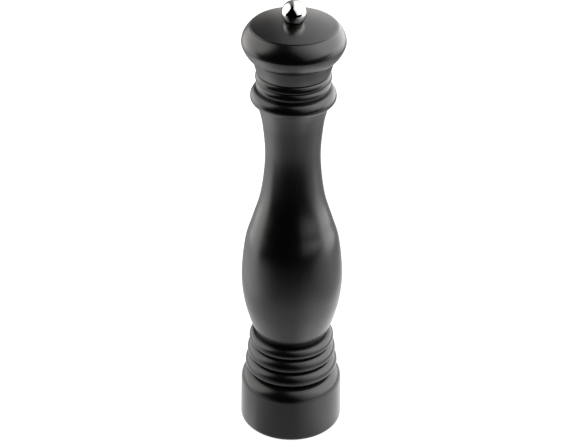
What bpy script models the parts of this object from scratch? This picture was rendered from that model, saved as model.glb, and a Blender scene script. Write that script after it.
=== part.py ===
"""Turned wooden pepper mill with a ball adjusting knob, in metres with +Z up.

The origin is at the middle of the foot, on the surface that the mill stands on, and Z is
the axis that everything is turned on and turns about. The head turns the square drive
shaft through the drive plate, the shaft turns the rotor inside the stator ring, and the
knob on the shaft's thread draws the rotor up against a spring for a finer grind.
"""

import math

import bmesh
import bpy
from mathutils import Matrix

# Clearances.
GAP = 0.0003
CUT_PAST = 0.002

# How finely round shapes are divided.
WOOD_STEPS = 32
METAL_STEPS = 20
SMALL_STEPS = 12

# Turned outside: each point is (radius, height).
ROUND = 2.0
BEAD_POWER = 2.1
BEAD_ROLL = 2 / 3
SHOULDER_POWER = 2.0
CAP_UNDER_POWER = 1.38

FOOT_BOTTOM = (0.03275, 0.0)
FOOT_EDGE = (0.0335, 0.0009)
FOOT_WIDEST = (0.03365, 0.002)
SHOULDER_CREST = (0.0333, 0.0296)
SHOULDER_TOP = (0.0244, 0.03865)

# Base beads, top one first: crease above, crest, where the roll under it would end.
BASE_BEADS = (
    ((0.0232, 0.0681), (0.02785, 0.0634), (0.0241, 0.0602)),
    ((0.0234, 0.05975), (0.0291, 0.0537), (0.0251, 0.0506)),
    ((0.0244, 0.0499), (0.0305, 0.0437), (0.0257, 0.0398)),
)

# Bulb and neck, from under the collar down to the top bead.
NECK_STATIONS = (
    (0.0232, 0.2391),
    (0.0209, 0.2320),
    (0.0190, 0.2220),
    (0.0175, 0.2030),
    (0.0186, 0.1850),
    (0.0212, 0.1690),
    (0.0260, 0.1530),
    (0.0304, 0.1375),
    (0.0327, 0.1135),
    (0.0314, 0.0954),
    (0.0276, 0.0796),
    (0.0235, 0.0686),
)
NECK_SPLITS = 2

COLLAR_FOOT = (0.0232, 0.2391)
COLLAR_CREST = (0.0267, 0.2426)
COLLAR_TOP = (0.0228, 0.2480)
RIM_FOOT = (0.0233, 0.2499)
RIM_CREST = (0.0234, 0.2509)
RIM_TOP_R = 0.0214
RIM_POWER = 1.8
BODY_TOP_Z = 0.2541

# Head: a ring at the seam, a plain band and the round cap with its low dome.
HEAD_BOTTOM_Z = BODY_TOP_Z + GAP
SEAM_RING_R = 0.0221
SEAM_RING_CREST = (0.0236, 0.2557)
SEAM_RING_TOP_Z = 0.2592
BAND_BOTTOM = (0.0229, 0.2600)
BAND_MIDDLE = (0.0241, 0.2642)
BAND_TOP = (0.0250, 0.2685)
CAP_CREST = (0.0320, 0.2792)
CAP_ARRIS = (0.02695, 0.2896)
CAP_UPPER_POWER = 2.2
CAP_LIP_INNER_R = 0.02655
DOME_EDGE = (0.02645, 0.2901)
DOME_RISE = 0.0030
DOME_POWER = 2.0
DOME_STEPS = 4
CAP_TOP_Z = DOME_EDGE[1] + DOME_RISE

# Bores of the body.
FOOT_RECESS_R = 0.0258
FOOT_RECESS_Z = 0.0074
FOOT_RECESS_CHAMFER = 0.0005
MECHANISM_BORE_R = 0.0192
MECHANISM_BORE_TOP_Z = 0.0520
CHAMBER_R = 0.0125
CHAMBER_BOTTOM_Z = 0.0550
CHAMBER_TOP_Z = 0.2380
MOUTH_R = 0.0155
MOUTH_BOTTOM_Z = 0.2392

# Head underside and bore.
TENON_R = MOUTH_R - GAP
TENON_BOTTOM_Z = 0.2430
TENON_CHAMFER = 0.0008
HEAD_BORE_R = 0.0040
BUSH_RECESS_R = 0.0048
BUSH_RECESS_DEPTH = 0.0011

# Bush that lines the head's bore under the knob.
BUSH_R = HEAD_BORE_R - GAP
BUSH_INNER_R = 0.0028
BUSH_FLANGE_R = BUSH_RECESS_R - GAP
BUSH_TOP_Z = CAP_TOP_Z - 0.0001
BUSH_FLANGE_T = 0.0007
BUSH_BOTTOM_Z = 0.2800

# Knob.
KNOB_R = 0.00765
KNOB_CENTRE_Z = 0.2985
KNOB_BOTTOM_Z = CAP_TOP_Z + GAP
KNOB_HOLE_TOP_Z = 0.3016
KNOB_POINTS = 14

# Square drive shaft, threaded round at both ends.
SHAFT_SIDE = 0.0055
SHAFT_SQUARE_BOTTOM_Z = 0.0076
SHAFT_SQUARE_TOP_Z = 0.2490
SHAFT_BOTTOM_Z = 0.0012
SHAFT_TOP_Z = 0.2990
THREAD_R = 0.0025
THREAD_CHAMFER = 0.0005
SQUARE_HOLE_SIDE = SHAFT_SIDE + 2 * GAP
ROUND_HOLE_R = THREAD_R + GAP

# Drive plate and its screws, on the end of the head's tenon.
PLATE_R = 0.0125
PLATE_T = 0.0013
PLATE_TOP_Z = TENON_BOTTOM_Z - GAP
PLATE_SCREW_CIRCLE_R = 0.0088
PLATE_SCREW_SHANK_R = 0.0011
PLATE_SCREW_HEAD_R = 0.0021
PLATE_SCREW_HEAD_T = 0.0008
PLATE_SCREW_LENGTH = 0.0070

# Flange under the stator, and its screws.
FLANGE_R = FOOT_RECESS_R - GAP
FLANGE_HOLE_R = 0.0158
FLANGE_TOP_Z = FOOT_RECESS_Z - GAP
FLANGE_T = 0.0016
FLANGE_SCREW_CIRCLE_R = 0.0223
FLANGE_SCREW_SHANK_R = 0.0015
FLANGE_SCREW_HEAD_R = 0.0029
FLANGE_SCREW_HEAD_T = 0.0013
FLANGE_SCREW_LENGTH = 0.0095

# What every screw shares.
SCREW_ANGLES = (90, 210, 330)
SCREW_POINT = 1.5
SCREW_HOLE_PAST = 0.0025
SLOT_WIDTH = 0.0005
SLOT_DEPTH = 0.0005
SLOT_TURN = math.radians(25)

# Stirrup that bridges the mechanism above the burrs, with legs down to the flange.
BRIDGE_BOTTOM_Z = 0.0453
BRIDGE_T = 0.0012
BRIDGE_WIDTH = 0.0090
BRIDGE_LEG_X = 0.0171
BRIDGE_TAB_WIDTH = 0.0050
BRIDGE_TAB_BOTTOM_Z = 0.0047
BRIDGE_TAB_T = 0.0010
BRIDGE_HUB_R = 0.0085
BRIDGE_HUB_T = 0.0010
BRIDGE_HOLE_R = 0.0053
BRIDGE_FOLD_R = 0.0020
BRIDGE_FOLD_STEPS = 3

# Bush in the bridge, and the washers and spring under it.
BRIDGE_BUSH_R = BRIDGE_HOLE_R - GAP
BRIDGE_BUSH_INNER_R = 0.0042
BRIDGE_BUSH_FLANGE_R = 0.0070
BRIDGE_BUSH_FLANGE_T = 0.0014
BRIDGE_BUSH_TOP_Z = 0.0480
THRUST_WASHER_R = 0.0068
THRUST_WASHER_T = 0.0012
SPRING_WASHER_T = 0.0008
SPRING_R = 0.0055
SPRING_WIRE_R = 0.00055
SPRING_TURNS = 6.5
SPRING_END_TURNS = 0.9
SPRING_END_PITCH = 2.16 * SPRING_WIRE_R
SPRING_POINTS_PER_TURN = 10

# Burrs: (crest radius, height) down each cone. The rotor is at its lowest, the coarsest grind.
ROTOR_LEVELS = (
    (0.0060, 0.0254),
    (0.0082, 0.0215),
    (0.0103, 0.0172),
    (0.0123, 0.0130),
    (0.0131, 0.0102),
    (0.0140, 0.0074),
)
ROTOR_TEETH = 14
ROTOR_TOOTH_DEPTH = 0.0012
ROTOR_TWIST = math.radians(70)
STATOR_LEVELS = (
    (0.0119, 0.0244),
    (0.0132, 0.0140),
    (0.0140, 0.0107),
    (0.0149, 0.0074),
)
STATOR_TEETH = 20
STATOR_TOOTH_DEPTH = 0.0009
STATOR_TWIST = math.radians(-30)
STATOR_R = 0.0168
STATOR_RIM_R = MECHANISM_BORE_R - GAP
STATOR_RIM_T = 0.0028
STATOR_KEY_WIDTH = BRIDGE_WIDTH + 2 * GAP
TOOTH_SHAPE = ((0.0, 0.0), (0.3, 0.0), (0.5, 1.0), (0.8, 1.0))

# Washer and nut that hold the rotor on the shaft.
ROTOR_WASHER_R = 0.0060
ROTOR_WASHER_T = 0.0011
NUT_ACROSS_FLATS = 0.0080
NUT_T = 0.0034


def start_scene():
    """Empties the scene and makes the collections for the parts and for the cutters."""
    for old in list(bpy.data.objects):
        bpy.data.objects.remove(old)
    collections = []
    for name in ("pepper_mill", "cutters"):
        collection = bpy.data.collections.new(name)
        bpy.context.scene.collection.children.link(collection)
        collections.append(collection)
    return collections


PARTS, CUTTERS = start_scene()


def make_material(name, color, roughness, metallic):
    """A Principled material in one colour."""
    material = bpy.data.materials.new(name)
    material.use_nodes = True
    shader = material.node_tree.nodes["Principled BSDF"]
    shader.inputs["Base Color"].default_value = (*color, 1.0)
    shader.inputs["Roughness"].default_value = roughness
    shader.inputs["Metallic"].default_value = metallic
    return material


LACQUER = make_material("black_lacquered_beech", (0.015, 0.015, 0.016), 0.25, 0.0)
CHROME = make_material("polished_chrome", (0.85, 0.84, 0.82), 0.06, 1.0)
STEEL = make_material("zinc_plated_steel", (0.62, 0.62, 0.60), 0.35, 1.0)
BURR_STEEL = make_material("case_hardened_steel", (0.30, 0.30, 0.31), 0.45, 1.0)
SPRING_STEEL = make_material("spring_steel", (0.45, 0.45, 0.46), 0.30, 1.0)
BRASS = make_material("brass", (0.78, 0.60, 0.30), 0.30, 1.0)
ACETAL = make_material("white_acetal", (0.82, 0.82, 0.79), 0.40, 0.0)


def make_empty(name, height):
    """An empty on the mill's axis that stands for a joint."""
    empty = bpy.data.objects.new(name, None)
    PARTS.objects.link(empty)
    empty.empty_display_size = 0.02
    empty.location.z = height
    return empty


def attach(child, parent):
    """Parents the child to an empty without moving it."""
    child.parent = parent
    child.matrix_parent_inverse = Matrix.Translation(parent.location).inverted()


def add_object(name, mesh, material, origin_z=0.0):
    """A part made from a mesh that is drawn about its own origin."""
    made = bpy.data.objects.new(name, mesh)
    made.location.z = origin_z
    if material:
        mesh.materials.append(material)
    PARTS.objects.link(made)
    return made


def as_cutter(made):
    """Turns an object into a hidden cutter."""
    PARTS.objects.unlink(made)
    CUTTERS.objects.link(made)
    made.hide_render = True
    made.display_type = "WIRE"
    return made


def combine(target, tool, operation):
    """Adds a Boolean of the tool to the target."""
    boolean = target.modifiers.new(f"{operation.lower()}_{tool.name}", "BOOLEAN")
    boolean.operation = operation
    boolean.solver = "EXACT"
    boolean.object = as_cutter(tool)


def turned(name, outline, material, steps, origin_z, closed):
    """A profile of (radius, height) turned about Z, running down its outer side."""
    mesh = bpy.data.meshes.new(name)
    shape = bmesh.new()
    corners = [shape.verts.new((radius, 0.0, height - origin_z)) for radius, height in outline]
    for first, second in zip(corners, corners[1:]):
        shape.edges.new((first, second))
    if closed:
        shape.edges.new((corners[-1], corners[0]))
    shape.to_mesh(mesh)
    shape.free()
    made = add_object(name, mesh, material, origin_z)
    screw = made.modifiers.new("turn", "SCREW")
    screw.angle = math.tau
    screw.steps = steps
    screw.render_steps = steps
    screw.use_merge_vertices = True
    screw.merge_threshold = 0.00001
    screw.use_smooth_shade = True
    return made


def ring(name, outer_r, inner_r, bottom_z, top_z, material, steps=METAL_STEPS):
    """A plain washer or sleeve."""
    outline = (
        (outer_r, top_z),
        (outer_r, bottom_z),
        (inner_r, bottom_z),
        (inner_r, top_z),
    )
    return turned(name, outline, material, steps, bottom_z, closed=True)


def disc(name, radius, bottom_z, top_z, material, steps=METAL_STEPS):
    """A plain round plate or rod."""
    outline = ((0.0, top_z), (radius, top_z), (radius, bottom_z), (0.0, bottom_z))
    return turned(name, outline, material, steps, bottom_z, closed=False)


def block(name, size, centre, material=None):
    """A rectangular block."""
    mesh = bpy.data.meshes.new(name)
    shape = bmesh.new()
    bmesh.ops.create_cube(shape, size=1.0)
    bmesh.ops.scale(shape, vec=size, verts=shape.verts)
    shape.to_mesh(mesh)
    shape.free()
    made = add_object(name, mesh, material)
    made.location = centre
    return made


def square_hole(target, bottom_z, top_z):
    """Cuts the hole that a square shaft drives."""
    size = (SQUARE_HOLE_SIDE, SQUARE_HOLE_SIDE, top_z - bottom_z + 2 * CUT_PAST)
    cutter = block(f"{target.name}_hole", size, (0.0, 0.0, (bottom_z + top_z) / 2))
    combine(target, cutter, "DIFFERENCE")


def flank(crest, crease, power, count):
    """Points from a crest to a crease, along a quarter of a superellipse."""
    points = []
    for step in range(count + 1):
        turn = math.radians(90) * step / count
        radius = crease[0] + (crest[0] - crease[0]) * math.cos(turn) ** (2 / power)
        height = crest[1] + (crease[1] - crest[1]) * math.sin(turn) ** (2 / power)
        points.append((radius, height))
    return points


def bead(top, crest, bottom, power, roll=1.0):
    """Points down a bead, from the crease above it through a share of the roll under it."""
    upper = flank(crest, top, power, 4)
    lower_steps = 3
    lower = flank(crest, bottom, ROUND, lower_steps)
    return upper[::-1] + lower[1 : round(lower_steps * roll) + 1]


def smooth_curve(stations, splits):
    """A Catmull-Rom curve through the stations, with each span in that many pieces."""
    ends = [stations[0], *stations, stations[-1]]
    points = [stations[0]]
    for index in range(1, len(stations)):
        before, start, end, after = ends[index - 1 : index + 3]
        for step in range(1, splits + 1):
            t = step / splits
            weights = (
                (-(t**3) + 2 * t**2 - t) / 2,
                (3 * t**3 - 5 * t**2 + 2) / 2,
                (-3 * t**3 + 4 * t**2 + t) / 2,
                (t**3 - t**2) / 2,
            )
            corners = (before, start, end, after)
            radius = sum(weight * corner[0] for weight, corner in zip(weights, corners))
            height = sum(weight * corner[1] for weight, corner in zip(weights, corners))
            points.append((radius, height))
    return points


def body_outline():
    """The body's section: down the turned outside, then up through the bores."""
    outside = flank(RIM_CREST, (RIM_TOP_R, BODY_TOP_Z), RIM_POWER, 3)[::-1]
    outside.append(RIM_FOOT)
    outside += bead(COLLAR_TOP, COLLAR_CREST, COLLAR_FOOT, ROUND)
    outside += smooth_curve(NECK_STATIONS, NECK_SPLITS)[1:]
    for top, crest, bottom in BASE_BEADS:
        outside += bead(top, crest, bottom, BEAD_POWER, BEAD_ROLL)
    outside += flank(SHOULDER_CREST, SHOULDER_TOP, SHOULDER_POWER, 5)[::-1]
    outside += [FOOT_WIDEST, FOOT_EDGE, FOOT_BOTTOM]
    inside = [
        (FOOT_RECESS_R + FOOT_RECESS_CHAMFER, 0.0),
        (FOOT_RECESS_R, FOOT_RECESS_CHAMFER),
        (FOOT_RECESS_R, FOOT_RECESS_Z),
        (MECHANISM_BORE_R, FOOT_RECESS_Z),
        (MECHANISM_BORE_R, MECHANISM_BORE_TOP_Z),
        (CHAMBER_R, CHAMBER_BOTTOM_Z),
        (CHAMBER_R, CHAMBER_TOP_Z),
        (MOUTH_R, MOUTH_BOTTOM_Z),
        (MOUTH_R, BODY_TOP_Z),
    ]
    return outside + inside


def head_outline():
    """The head's section: down the cap, the ring and the tenon, then up the bore."""
    dome = []
    for step in range(DOME_STEPS + 1):
        radius = BUSH_RECESS_R + (DOME_EDGE[0] - BUSH_RECESS_R) * step / DOME_STEPS
        rise = 1 - (radius / DOME_EDGE[0]) ** DOME_POWER
        dome.append((radius, DOME_EDGE[1] + DOME_RISE * rise))
    cap_steps = 7
    upper = [(CAP_LIP_INNER_R, CAP_ARRIS[1])]
    for step in range(cap_steps, -1, -1):
        rise = step / cap_steps
        radius = CAP_CREST[0] - (CAP_CREST[0] - CAP_ARRIS[0]) * rise**CAP_UPPER_POWER
        upper.append((radius, CAP_CREST[1] + (CAP_ARRIS[1] - CAP_CREST[1]) * rise))
    under = flank(CAP_CREST, BAND_TOP, CAP_UNDER_POWER, 6)
    ring_top = (SEAM_RING_R, SEAM_RING_TOP_Z)
    ring_bottom = (SEAM_RING_R, HEAD_BOTTOM_Z)
    seam_ring = flank(SEAM_RING_CREST, ring_top, ROUND, 3)[::-1]
    seam_ring += flank(SEAM_RING_CREST, ring_bottom, ROUND, 3)[1:]
    tenon = [
        (TENON_R, HEAD_BOTTOM_Z),
        (TENON_R, TENON_BOTTOM_Z + TENON_CHAMFER),
        (TENON_R - TENON_CHAMFER, TENON_BOTTOM_Z),
    ]
    bore = [
        (HEAD_BORE_R, TENON_BOTTOM_Z),
        (HEAD_BORE_R, CAP_TOP_Z - BUSH_RECESS_DEPTH),
        (BUSH_RECESS_R, CAP_TOP_Z - BUSH_RECESS_DEPTH),
    ]
    return dome + upper + under[1:] + [BAND_MIDDLE, BAND_BOTTOM] + seam_ring + tenon + bore


def knob_outline():
    """The knob's section: down the ball to its seat, then up the blind threaded hole."""
    seat_angle = math.acos((KNOB_BOTTOM_Z - KNOB_CENTRE_Z) / KNOB_R)
    ball = []
    for step in range(KNOB_POINTS + 1):
        turn = seat_angle * step / KNOB_POINTS
        ball.append((KNOB_R * math.sin(turn), KNOB_CENTRE_Z + KNOB_R * math.cos(turn)))
    foot = [
        (ROUND_HOLE_R, KNOB_BOTTOM_Z),
        (ROUND_HOLE_R, KNOB_HOLE_TOP_Z),
        (0.0, KNOB_HOLE_TOP_Z + ROUND_HOLE_R / 2),
    ]
    return ball + foot


def shaft_outline():
    """The blank that the square shaft is cut from, with a threaded length at each end."""
    blank_r = SHAFT_SIDE
    return [
        (0.0, SHAFT_TOP_Z),
        (THREAD_R - THREAD_CHAMFER, SHAFT_TOP_Z),
        (THREAD_R, SHAFT_TOP_Z - THREAD_CHAMFER),
        (THREAD_R, SHAFT_SQUARE_TOP_Z + GAP),
        (blank_r, SHAFT_SQUARE_TOP_Z - GAP),
        (blank_r, SHAFT_SQUARE_BOTTOM_Z),
        (THREAD_R, SHAFT_SQUARE_BOTTOM_Z),
        (THREAD_R, SHAFT_BOTTOM_Z + THREAD_CHAMFER),
        (THREAD_R - THREAD_CHAMFER, SHAFT_BOTTOM_Z),
        (0.0, SHAFT_BOTTOM_Z),
    ]


def toothed_cone(name, levels, teeth, depth, twist, inward, origin_z):
    """A cone with helical teeth. Valleys are cut in from the crests, or out if not inward."""
    mesh = bpy.data.meshes.new(name)
    shape = bmesh.new()
    height = levels[0][1] - levels[-1][1]
    rings = []
    for crest, level in levels:
        lean = twist * (levels[0][1] - level) / height
        corners = []
        for tooth in range(teeth):
            for share, dip in TOOTH_SHAPE:
                angle = lean + math.tau * (tooth + share) / teeth
                radius = crest - dip * depth if inward else crest + dip * depth
                place = (radius * math.cos(angle), radius * math.sin(angle), level - origin_z)
                corners.append(shape.verts.new(place))
        rings.append(corners)
    for upper, lower in zip(rings, rings[1:]):
        for index, corner in enumerate(upper):
            following = (index + 1) % len(upper)
            shape.faces.new((corner, lower[index], lower[following], upper[following]))
    shape.faces.new(rings[0])
    shape.faces.new(rings[-1][::-1])
    bmesh.ops.triangulate(shape, faces=[f for f in shape.faces if len(f.verts) > 4])
    shape.to_mesh(mesh)
    shape.free()
    return add_object(name, mesh, None, origin_z)


def evaluated_mesh(made, name):
    """The object's mesh with its modifiers applied."""
    bpy.context.view_layer.update()
    depsgraph = bpy.context.evaluated_depsgraph_get()
    mesh = bpy.data.meshes.new_from_object(made.evaluated_get(depsgraph))
    mesh.name = name
    return mesh


def make_screws(name, shank_r, head_r, head_t, length, circle_r, head_bottom_z, parent):
    """Three slotted round-head screws, driven upwards, that share one mesh."""
    dome = flank((head_r, 0.0), (0.0, -head_t), ROUND, 3)
    point = (0.0, length + shank_r * SCREW_POINT)
    outline = [point, (shank_r, length), (shank_r, 0.0), *dome]
    first = turned(f"{name}_blank", outline, STEEL, SMALL_STEPS, 0.0, closed=False)
    slot_size = (2 * head_r + CUT_PAST, SLOT_WIDTH, 2 * SLOT_DEPTH)
    slot = block(f"{name}_slot", slot_size, (0.0, 0.0, -head_t))
    combine(first, slot, "DIFFERENCE")
    mesh = evaluated_mesh(first, name)
    bpy.data.objects.remove(first)
    for number, degrees in enumerate(SCREW_ANGLES, 1):
        angle = math.radians(degrees)
        made = bpy.data.objects.new(f"{name}_{number}", mesh)
        PARTS.objects.link(made)
        made.location = (
            circle_r * math.cos(angle),
            circle_r * math.sin(angle),
            head_bottom_z + head_t,
        )
        made.rotation_euler.z = angle + SLOT_TURN * number
        attach(made, parent)


def cut_screw_holes(target, circle_r, shank_r, bottom_z, top_z):
    """Cuts three clearance holes for screws."""
    for number, degrees in enumerate(SCREW_ANGLES, 1):
        angle = math.radians(degrees)
        name = f"{target.name}_screw_hole_{number}"
        cutter = disc(name, shank_r + GAP, bottom_z, top_z, None, SMALL_STEPS)
        cutter.location.x = circle_r * math.cos(angle)
        cutter.location.y = circle_r * math.sin(angle)
        combine(target, cutter, "DIFFERENCE")


def make_body(parent):
    """The turned body, bored from both ends, with pilot holes for the flange's screws."""
    body = turned("body", body_outline(), LACQUER, WOOD_STEPS, 0.0, closed=True)
    hole_top = FLANGE_TOP_Z + FLANGE_SCREW_LENGTH + SCREW_HOLE_PAST
    bottom = FOOT_RECESS_Z - CUT_PAST
    cut_screw_holes(body, FLANGE_SCREW_CIRCLE_R, FLANGE_SCREW_SHANK_R, bottom, hole_top)
    attach(body, parent)


def make_head(parent):
    """The turned head, with pilot holes for the drive plate's screws."""
    outline = head_outline()
    head = turned("head", outline, LACQUER, WOOD_STEPS, HEAD_BOTTOM_Z, closed=True)
    hole_top = TENON_BOTTOM_Z + PLATE_SCREW_LENGTH + SCREW_HOLE_PAST
    bottom = TENON_BOTTOM_Z - CUT_PAST
    cut_screw_holes(head, PLATE_SCREW_CIRCLE_R, PLATE_SCREW_SHANK_R, bottom, hole_top)
    attach(head, parent)


def make_head_bush(parent):
    """The flanged sleeve that the knob bears on."""
    outline = (
        (BUSH_FLANGE_R, BUSH_TOP_Z),
        (BUSH_FLANGE_R, BUSH_TOP_Z - BUSH_FLANGE_T),
        (BUSH_R, BUSH_TOP_Z - BUSH_FLANGE_T),
        (BUSH_R, BUSH_BOTTOM_Z),
        (BUSH_INNER_R, BUSH_BOTTOM_Z),
        (BUSH_INNER_R, BUSH_TOP_Z),
    )
    bush = turned("head_bush", outline, BRASS, METAL_STEPS, BUSH_TOP_Z, closed=True)
    attach(bush, parent)


def make_drive_plate(parent):
    """The plate on the tenon whose square hole turns the shaft."""
    bottom = PLATE_TOP_Z - PLATE_T
    plate = disc("drive_plate", PLATE_R, bottom, PLATE_TOP_Z, STEEL)
    square_hole(plate, bottom, PLATE_TOP_Z)
    past = (bottom - CUT_PAST, PLATE_TOP_Z + CUT_PAST)
    cut_screw_holes(plate, PLATE_SCREW_CIRCLE_R, PLATE_SCREW_SHANK_R, *past)
    attach(plate, parent)
    make_screws(
        "drive_plate_screw",
        PLATE_SCREW_SHANK_R,
        PLATE_SCREW_HEAD_R,
        PLATE_SCREW_HEAD_T,
        PLATE_SCREW_LENGTH,
        PLATE_SCREW_CIRCLE_R,
        bottom - GAP - PLATE_SCREW_HEAD_T,
        parent,
    )


def make_knob(parent):
    """The ball knob, cut flat where it sits on its bush."""
    knob = turned("adjusting_knob", knob_outline(), CHROME, METAL_STEPS, KNOB_CENTRE_Z, closed=False)
    attach(knob, parent)


def make_shaft(parent):
    """The drive shaft: its turned blank is squared between the two threaded ends."""
    outline = shaft_outline()
    shaft = turned("drive_shaft", outline, STEEL, METAL_STEPS, SHAFT_BOTTOM_Z, closed=False)
    length = SHAFT_TOP_Z - SHAFT_BOTTOM_Z + 2 * CUT_PAST
    centre = (0.0, 0.0, (SHAFT_TOP_Z + SHAFT_BOTTOM_Z) / 2)
    squarer = block("shaft_square", (SHAFT_SIDE, SHAFT_SIDE, length), centre)
    combine(shaft, squarer, "INTERSECT")
    attach(shaft, parent)


def make_rotor(parent):
    """The male burr, with the washer and the nut that hold it on the shaft."""
    top_z = ROTOR_LEVELS[0][1]
    bottom_z = ROTOR_LEVELS[-1][1]
    rotor = toothed_cone(
        "rotor", ROTOR_LEVELS, ROTOR_TEETH, ROTOR_TOOTH_DEPTH, ROTOR_TWIST, True, bottom_z
    )
    rotor.data.materials.append(BURR_STEEL)
    square_hole(rotor, bottom_z, top_z)
    washer_top = bottom_z - GAP
    washer_bottom = washer_top - ROTOR_WASHER_T
    washer = ring("rotor_washer", ROTOR_WASHER_R, ROUND_HOLE_R, washer_bottom, washer_top, STEEL)
    nut_top = washer_bottom - GAP
    nut_r = NUT_ACROSS_FLATS / math.sqrt(3)
    nut = disc("rotor_nut", nut_r, nut_top - NUT_T, nut_top, STEEL, steps=6)
    hole_bottom = nut_top - NUT_T - CUT_PAST
    hole = disc("rotor_nut_hole", ROUND_HOLE_R, hole_bottom, nut_top + CUT_PAST, None)
    combine(nut, hole, "DIFFERENCE")
    for made in (rotor, washer, nut):
        attach(made, parent)


def make_spring(parent, bottom_z, top_z):
    """The compression spring, with its end turns laid flat."""
    curve = bpy.data.curves.new("compression_spring", "CURVE")
    curve.dimensions = "3D"
    curve.bevel_depth = SPRING_WIRE_R
    curve.bevel_resolution = 2
    curve.use_fill_caps = True
    count = round(SPRING_TURNS * SPRING_POINTS_PER_TURN)
    spline = curve.splines.new("POLY")
    spline.points.add(count)
    low = bottom_z + SPRING_WIRE_R
    high = top_z - SPRING_WIRE_R
    end_rise = SPRING_END_PITCH * SPRING_END_TURNS
    open_turns = SPRING_TURNS - 2 * SPRING_END_TURNS
    for index, point in enumerate(spline.points):
        turns = SPRING_TURNS * index / count
        start_share = min(turns, SPRING_END_TURNS) / SPRING_END_TURNS
        end_share = max(turns - SPRING_TURNS + SPRING_END_TURNS, 0.0) / SPRING_END_TURNS
        middle = min(max(turns - SPRING_END_TURNS, 0.0), open_turns) / open_turns
        rise = end_rise * (start_share + end_share)
        rise += (high - low - 2 * end_rise) * middle
        angle = math.tau * turns
        point.co = (SPRING_R * math.cos(angle), SPRING_R * math.sin(angle), low + rise - top_z, 1.0)
    spring = bpy.data.objects.new("compression_spring", curve)
    curve.materials.append(SPRING_STEEL)
    PARTS.objects.link(spring)
    spring.location.z = top_z
    attach(spring, parent)


def folded_strip(name, centre_line, width, thickness, material):
    """A strip of plate folded along a line of (x, height) points, across Y."""
    mesh = bpy.data.meshes.new(name)
    shape = bmesh.new()
    rows = []
    for x, height in centre_line:
        rows.append([shape.verts.new((x, y, height)) for y in (-width / 2, width / 2)])
    for (near, far), (next_near, next_far) in zip(rows, rows[1:]):
        shape.faces.new((near, next_near, next_far, far))
    shape.to_mesh(mesh)
    shape.free()
    made = add_object(name, mesh, material)
    solidify = made.modifiers.new("plate", "SOLIDIFY")
    solidify.thickness = thickness
    solidify.offset = 0.0
    solidify.use_even_offset = True
    return made


def make_bridge(parent):
    """The stirrup: a folded strap with two legs, whose tabs pass through the flange."""
    leg_x = BRIDGE_LEG_X + BRIDGE_T / 2
    leg_bottom_z = FLANGE_TOP_Z + GAP
    middle_z = BRIDGE_BOTTOM_Z + BRIDGE_T / 2
    right = [(leg_x, leg_bottom_z)]
    for step in range(BRIDGE_FOLD_STEPS + 1):
        turn = math.radians(90) * step / BRIDGE_FOLD_STEPS
        x = leg_x - BRIDGE_FOLD_R * (1 - math.cos(turn))
        right.append((x, middle_z - BRIDGE_FOLD_R * (1 - math.sin(turn))))
    left = [(-x, height) for x, height in reversed(right)]
    bridge = folded_strip("bridge", right + left, BRIDGE_WIDTH, BRIDGE_T, STEEL)
    tab_top = leg_bottom_z + CUT_PAST
    tab_size = (BRIDGE_TAB_T, BRIDGE_TAB_WIDTH, tab_top - BRIDGE_TAB_BOTTOM_Z)
    for side, name in ((1, "right"), (-1, "left")):
        tab_centre = (side * leg_x, 0.0, (tab_top + BRIDGE_TAB_BOTTOM_Z) / 2)
        combine(bridge, block(f"bridge_tab_{name}", tab_size, tab_centre), "UNION")
    hub_edges = (middle_z - BRIDGE_HUB_T / 2, middle_z + BRIDGE_HUB_T / 2)
    combine(bridge, disc("bridge_hub", BRIDGE_HUB_R, *hub_edges, None), "UNION")
    hole_bottom = BRIDGE_BOTTOM_Z - CUT_PAST
    hole_top = BRIDGE_BOTTOM_Z + BRIDGE_T + CUT_PAST
    hole = disc("bridge_hole", BRIDGE_HOLE_R, hole_bottom, hole_top, None)
    combine(bridge, hole, "DIFFERENCE")
    attach(bridge, parent)


def make_bridge_bush(parent):
    """The flanged bearing that hangs in the bridge and takes the spring's thrust."""
    flange_top = BRIDGE_BOTTOM_Z - GAP
    flange_bottom = flange_top - BRIDGE_BUSH_FLANGE_T
    outline = (
        (BRIDGE_BUSH_R, BRIDGE_BUSH_TOP_Z),
        (BRIDGE_BUSH_R, flange_top),
        (BRIDGE_BUSH_FLANGE_R, flange_top),
        (BRIDGE_BUSH_FLANGE_R, flange_bottom),
        (BRIDGE_BUSH_INNER_R, flange_bottom),
        (BRIDGE_BUSH_INNER_R, BRIDGE_BUSH_TOP_Z),
    )
    bush = turned("bridge_bush", outline, ACETAL, METAL_STEPS, flange_bottom, closed=True)
    attach(bush, parent)
    return flange_bottom


def make_stator(parent):
    """The female burr, with a rim that is notched for the bridge's legs."""
    top_z = STATOR_LEVELS[0][1]
    bottom_z = STATOR_LEVELS[-1][1]
    outline = (
        (0.0, top_z),
        (STATOR_R, top_z),
        (STATOR_R, bottom_z + STATOR_RIM_T),
        (STATOR_RIM_R, bottom_z + STATOR_RIM_T),
        (STATOR_RIM_R, bottom_z),
        (0.0, bottom_z),
    )
    stator = turned("stator_ring", outline, BURR_STEEL, WOOD_STEPS, bottom_z, closed=False)
    first, last = STATOR_LEVELS[0], STATOR_LEVELS[-1]
    past = ((first[0], first[1] + CUT_PAST), *STATOR_LEVELS[1:-1], (last[0], last[1] - CUT_PAST))
    bore = toothed_cone(
        "stator_bore", past, STATOR_TEETH, STATOR_TOOTH_DEPTH, STATOR_TWIST, False, 0.0
    )
    combine(stator, bore, "DIFFERENCE")
    for side, name in ((1, "right"), (-1, "left")):
        key_size = (STATOR_RIM_R, STATOR_KEY_WIDTH, STATOR_RIM_T + 2 * CUT_PAST)
        centre = (side * (STATOR_R + STATOR_RIM_R / 2), 0.0, bottom_z + STATOR_RIM_T / 2)
        combine(stator, block(f"stator_key_{name}", key_size, centre), "DIFFERENCE")
    attach(stator, parent)


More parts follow.
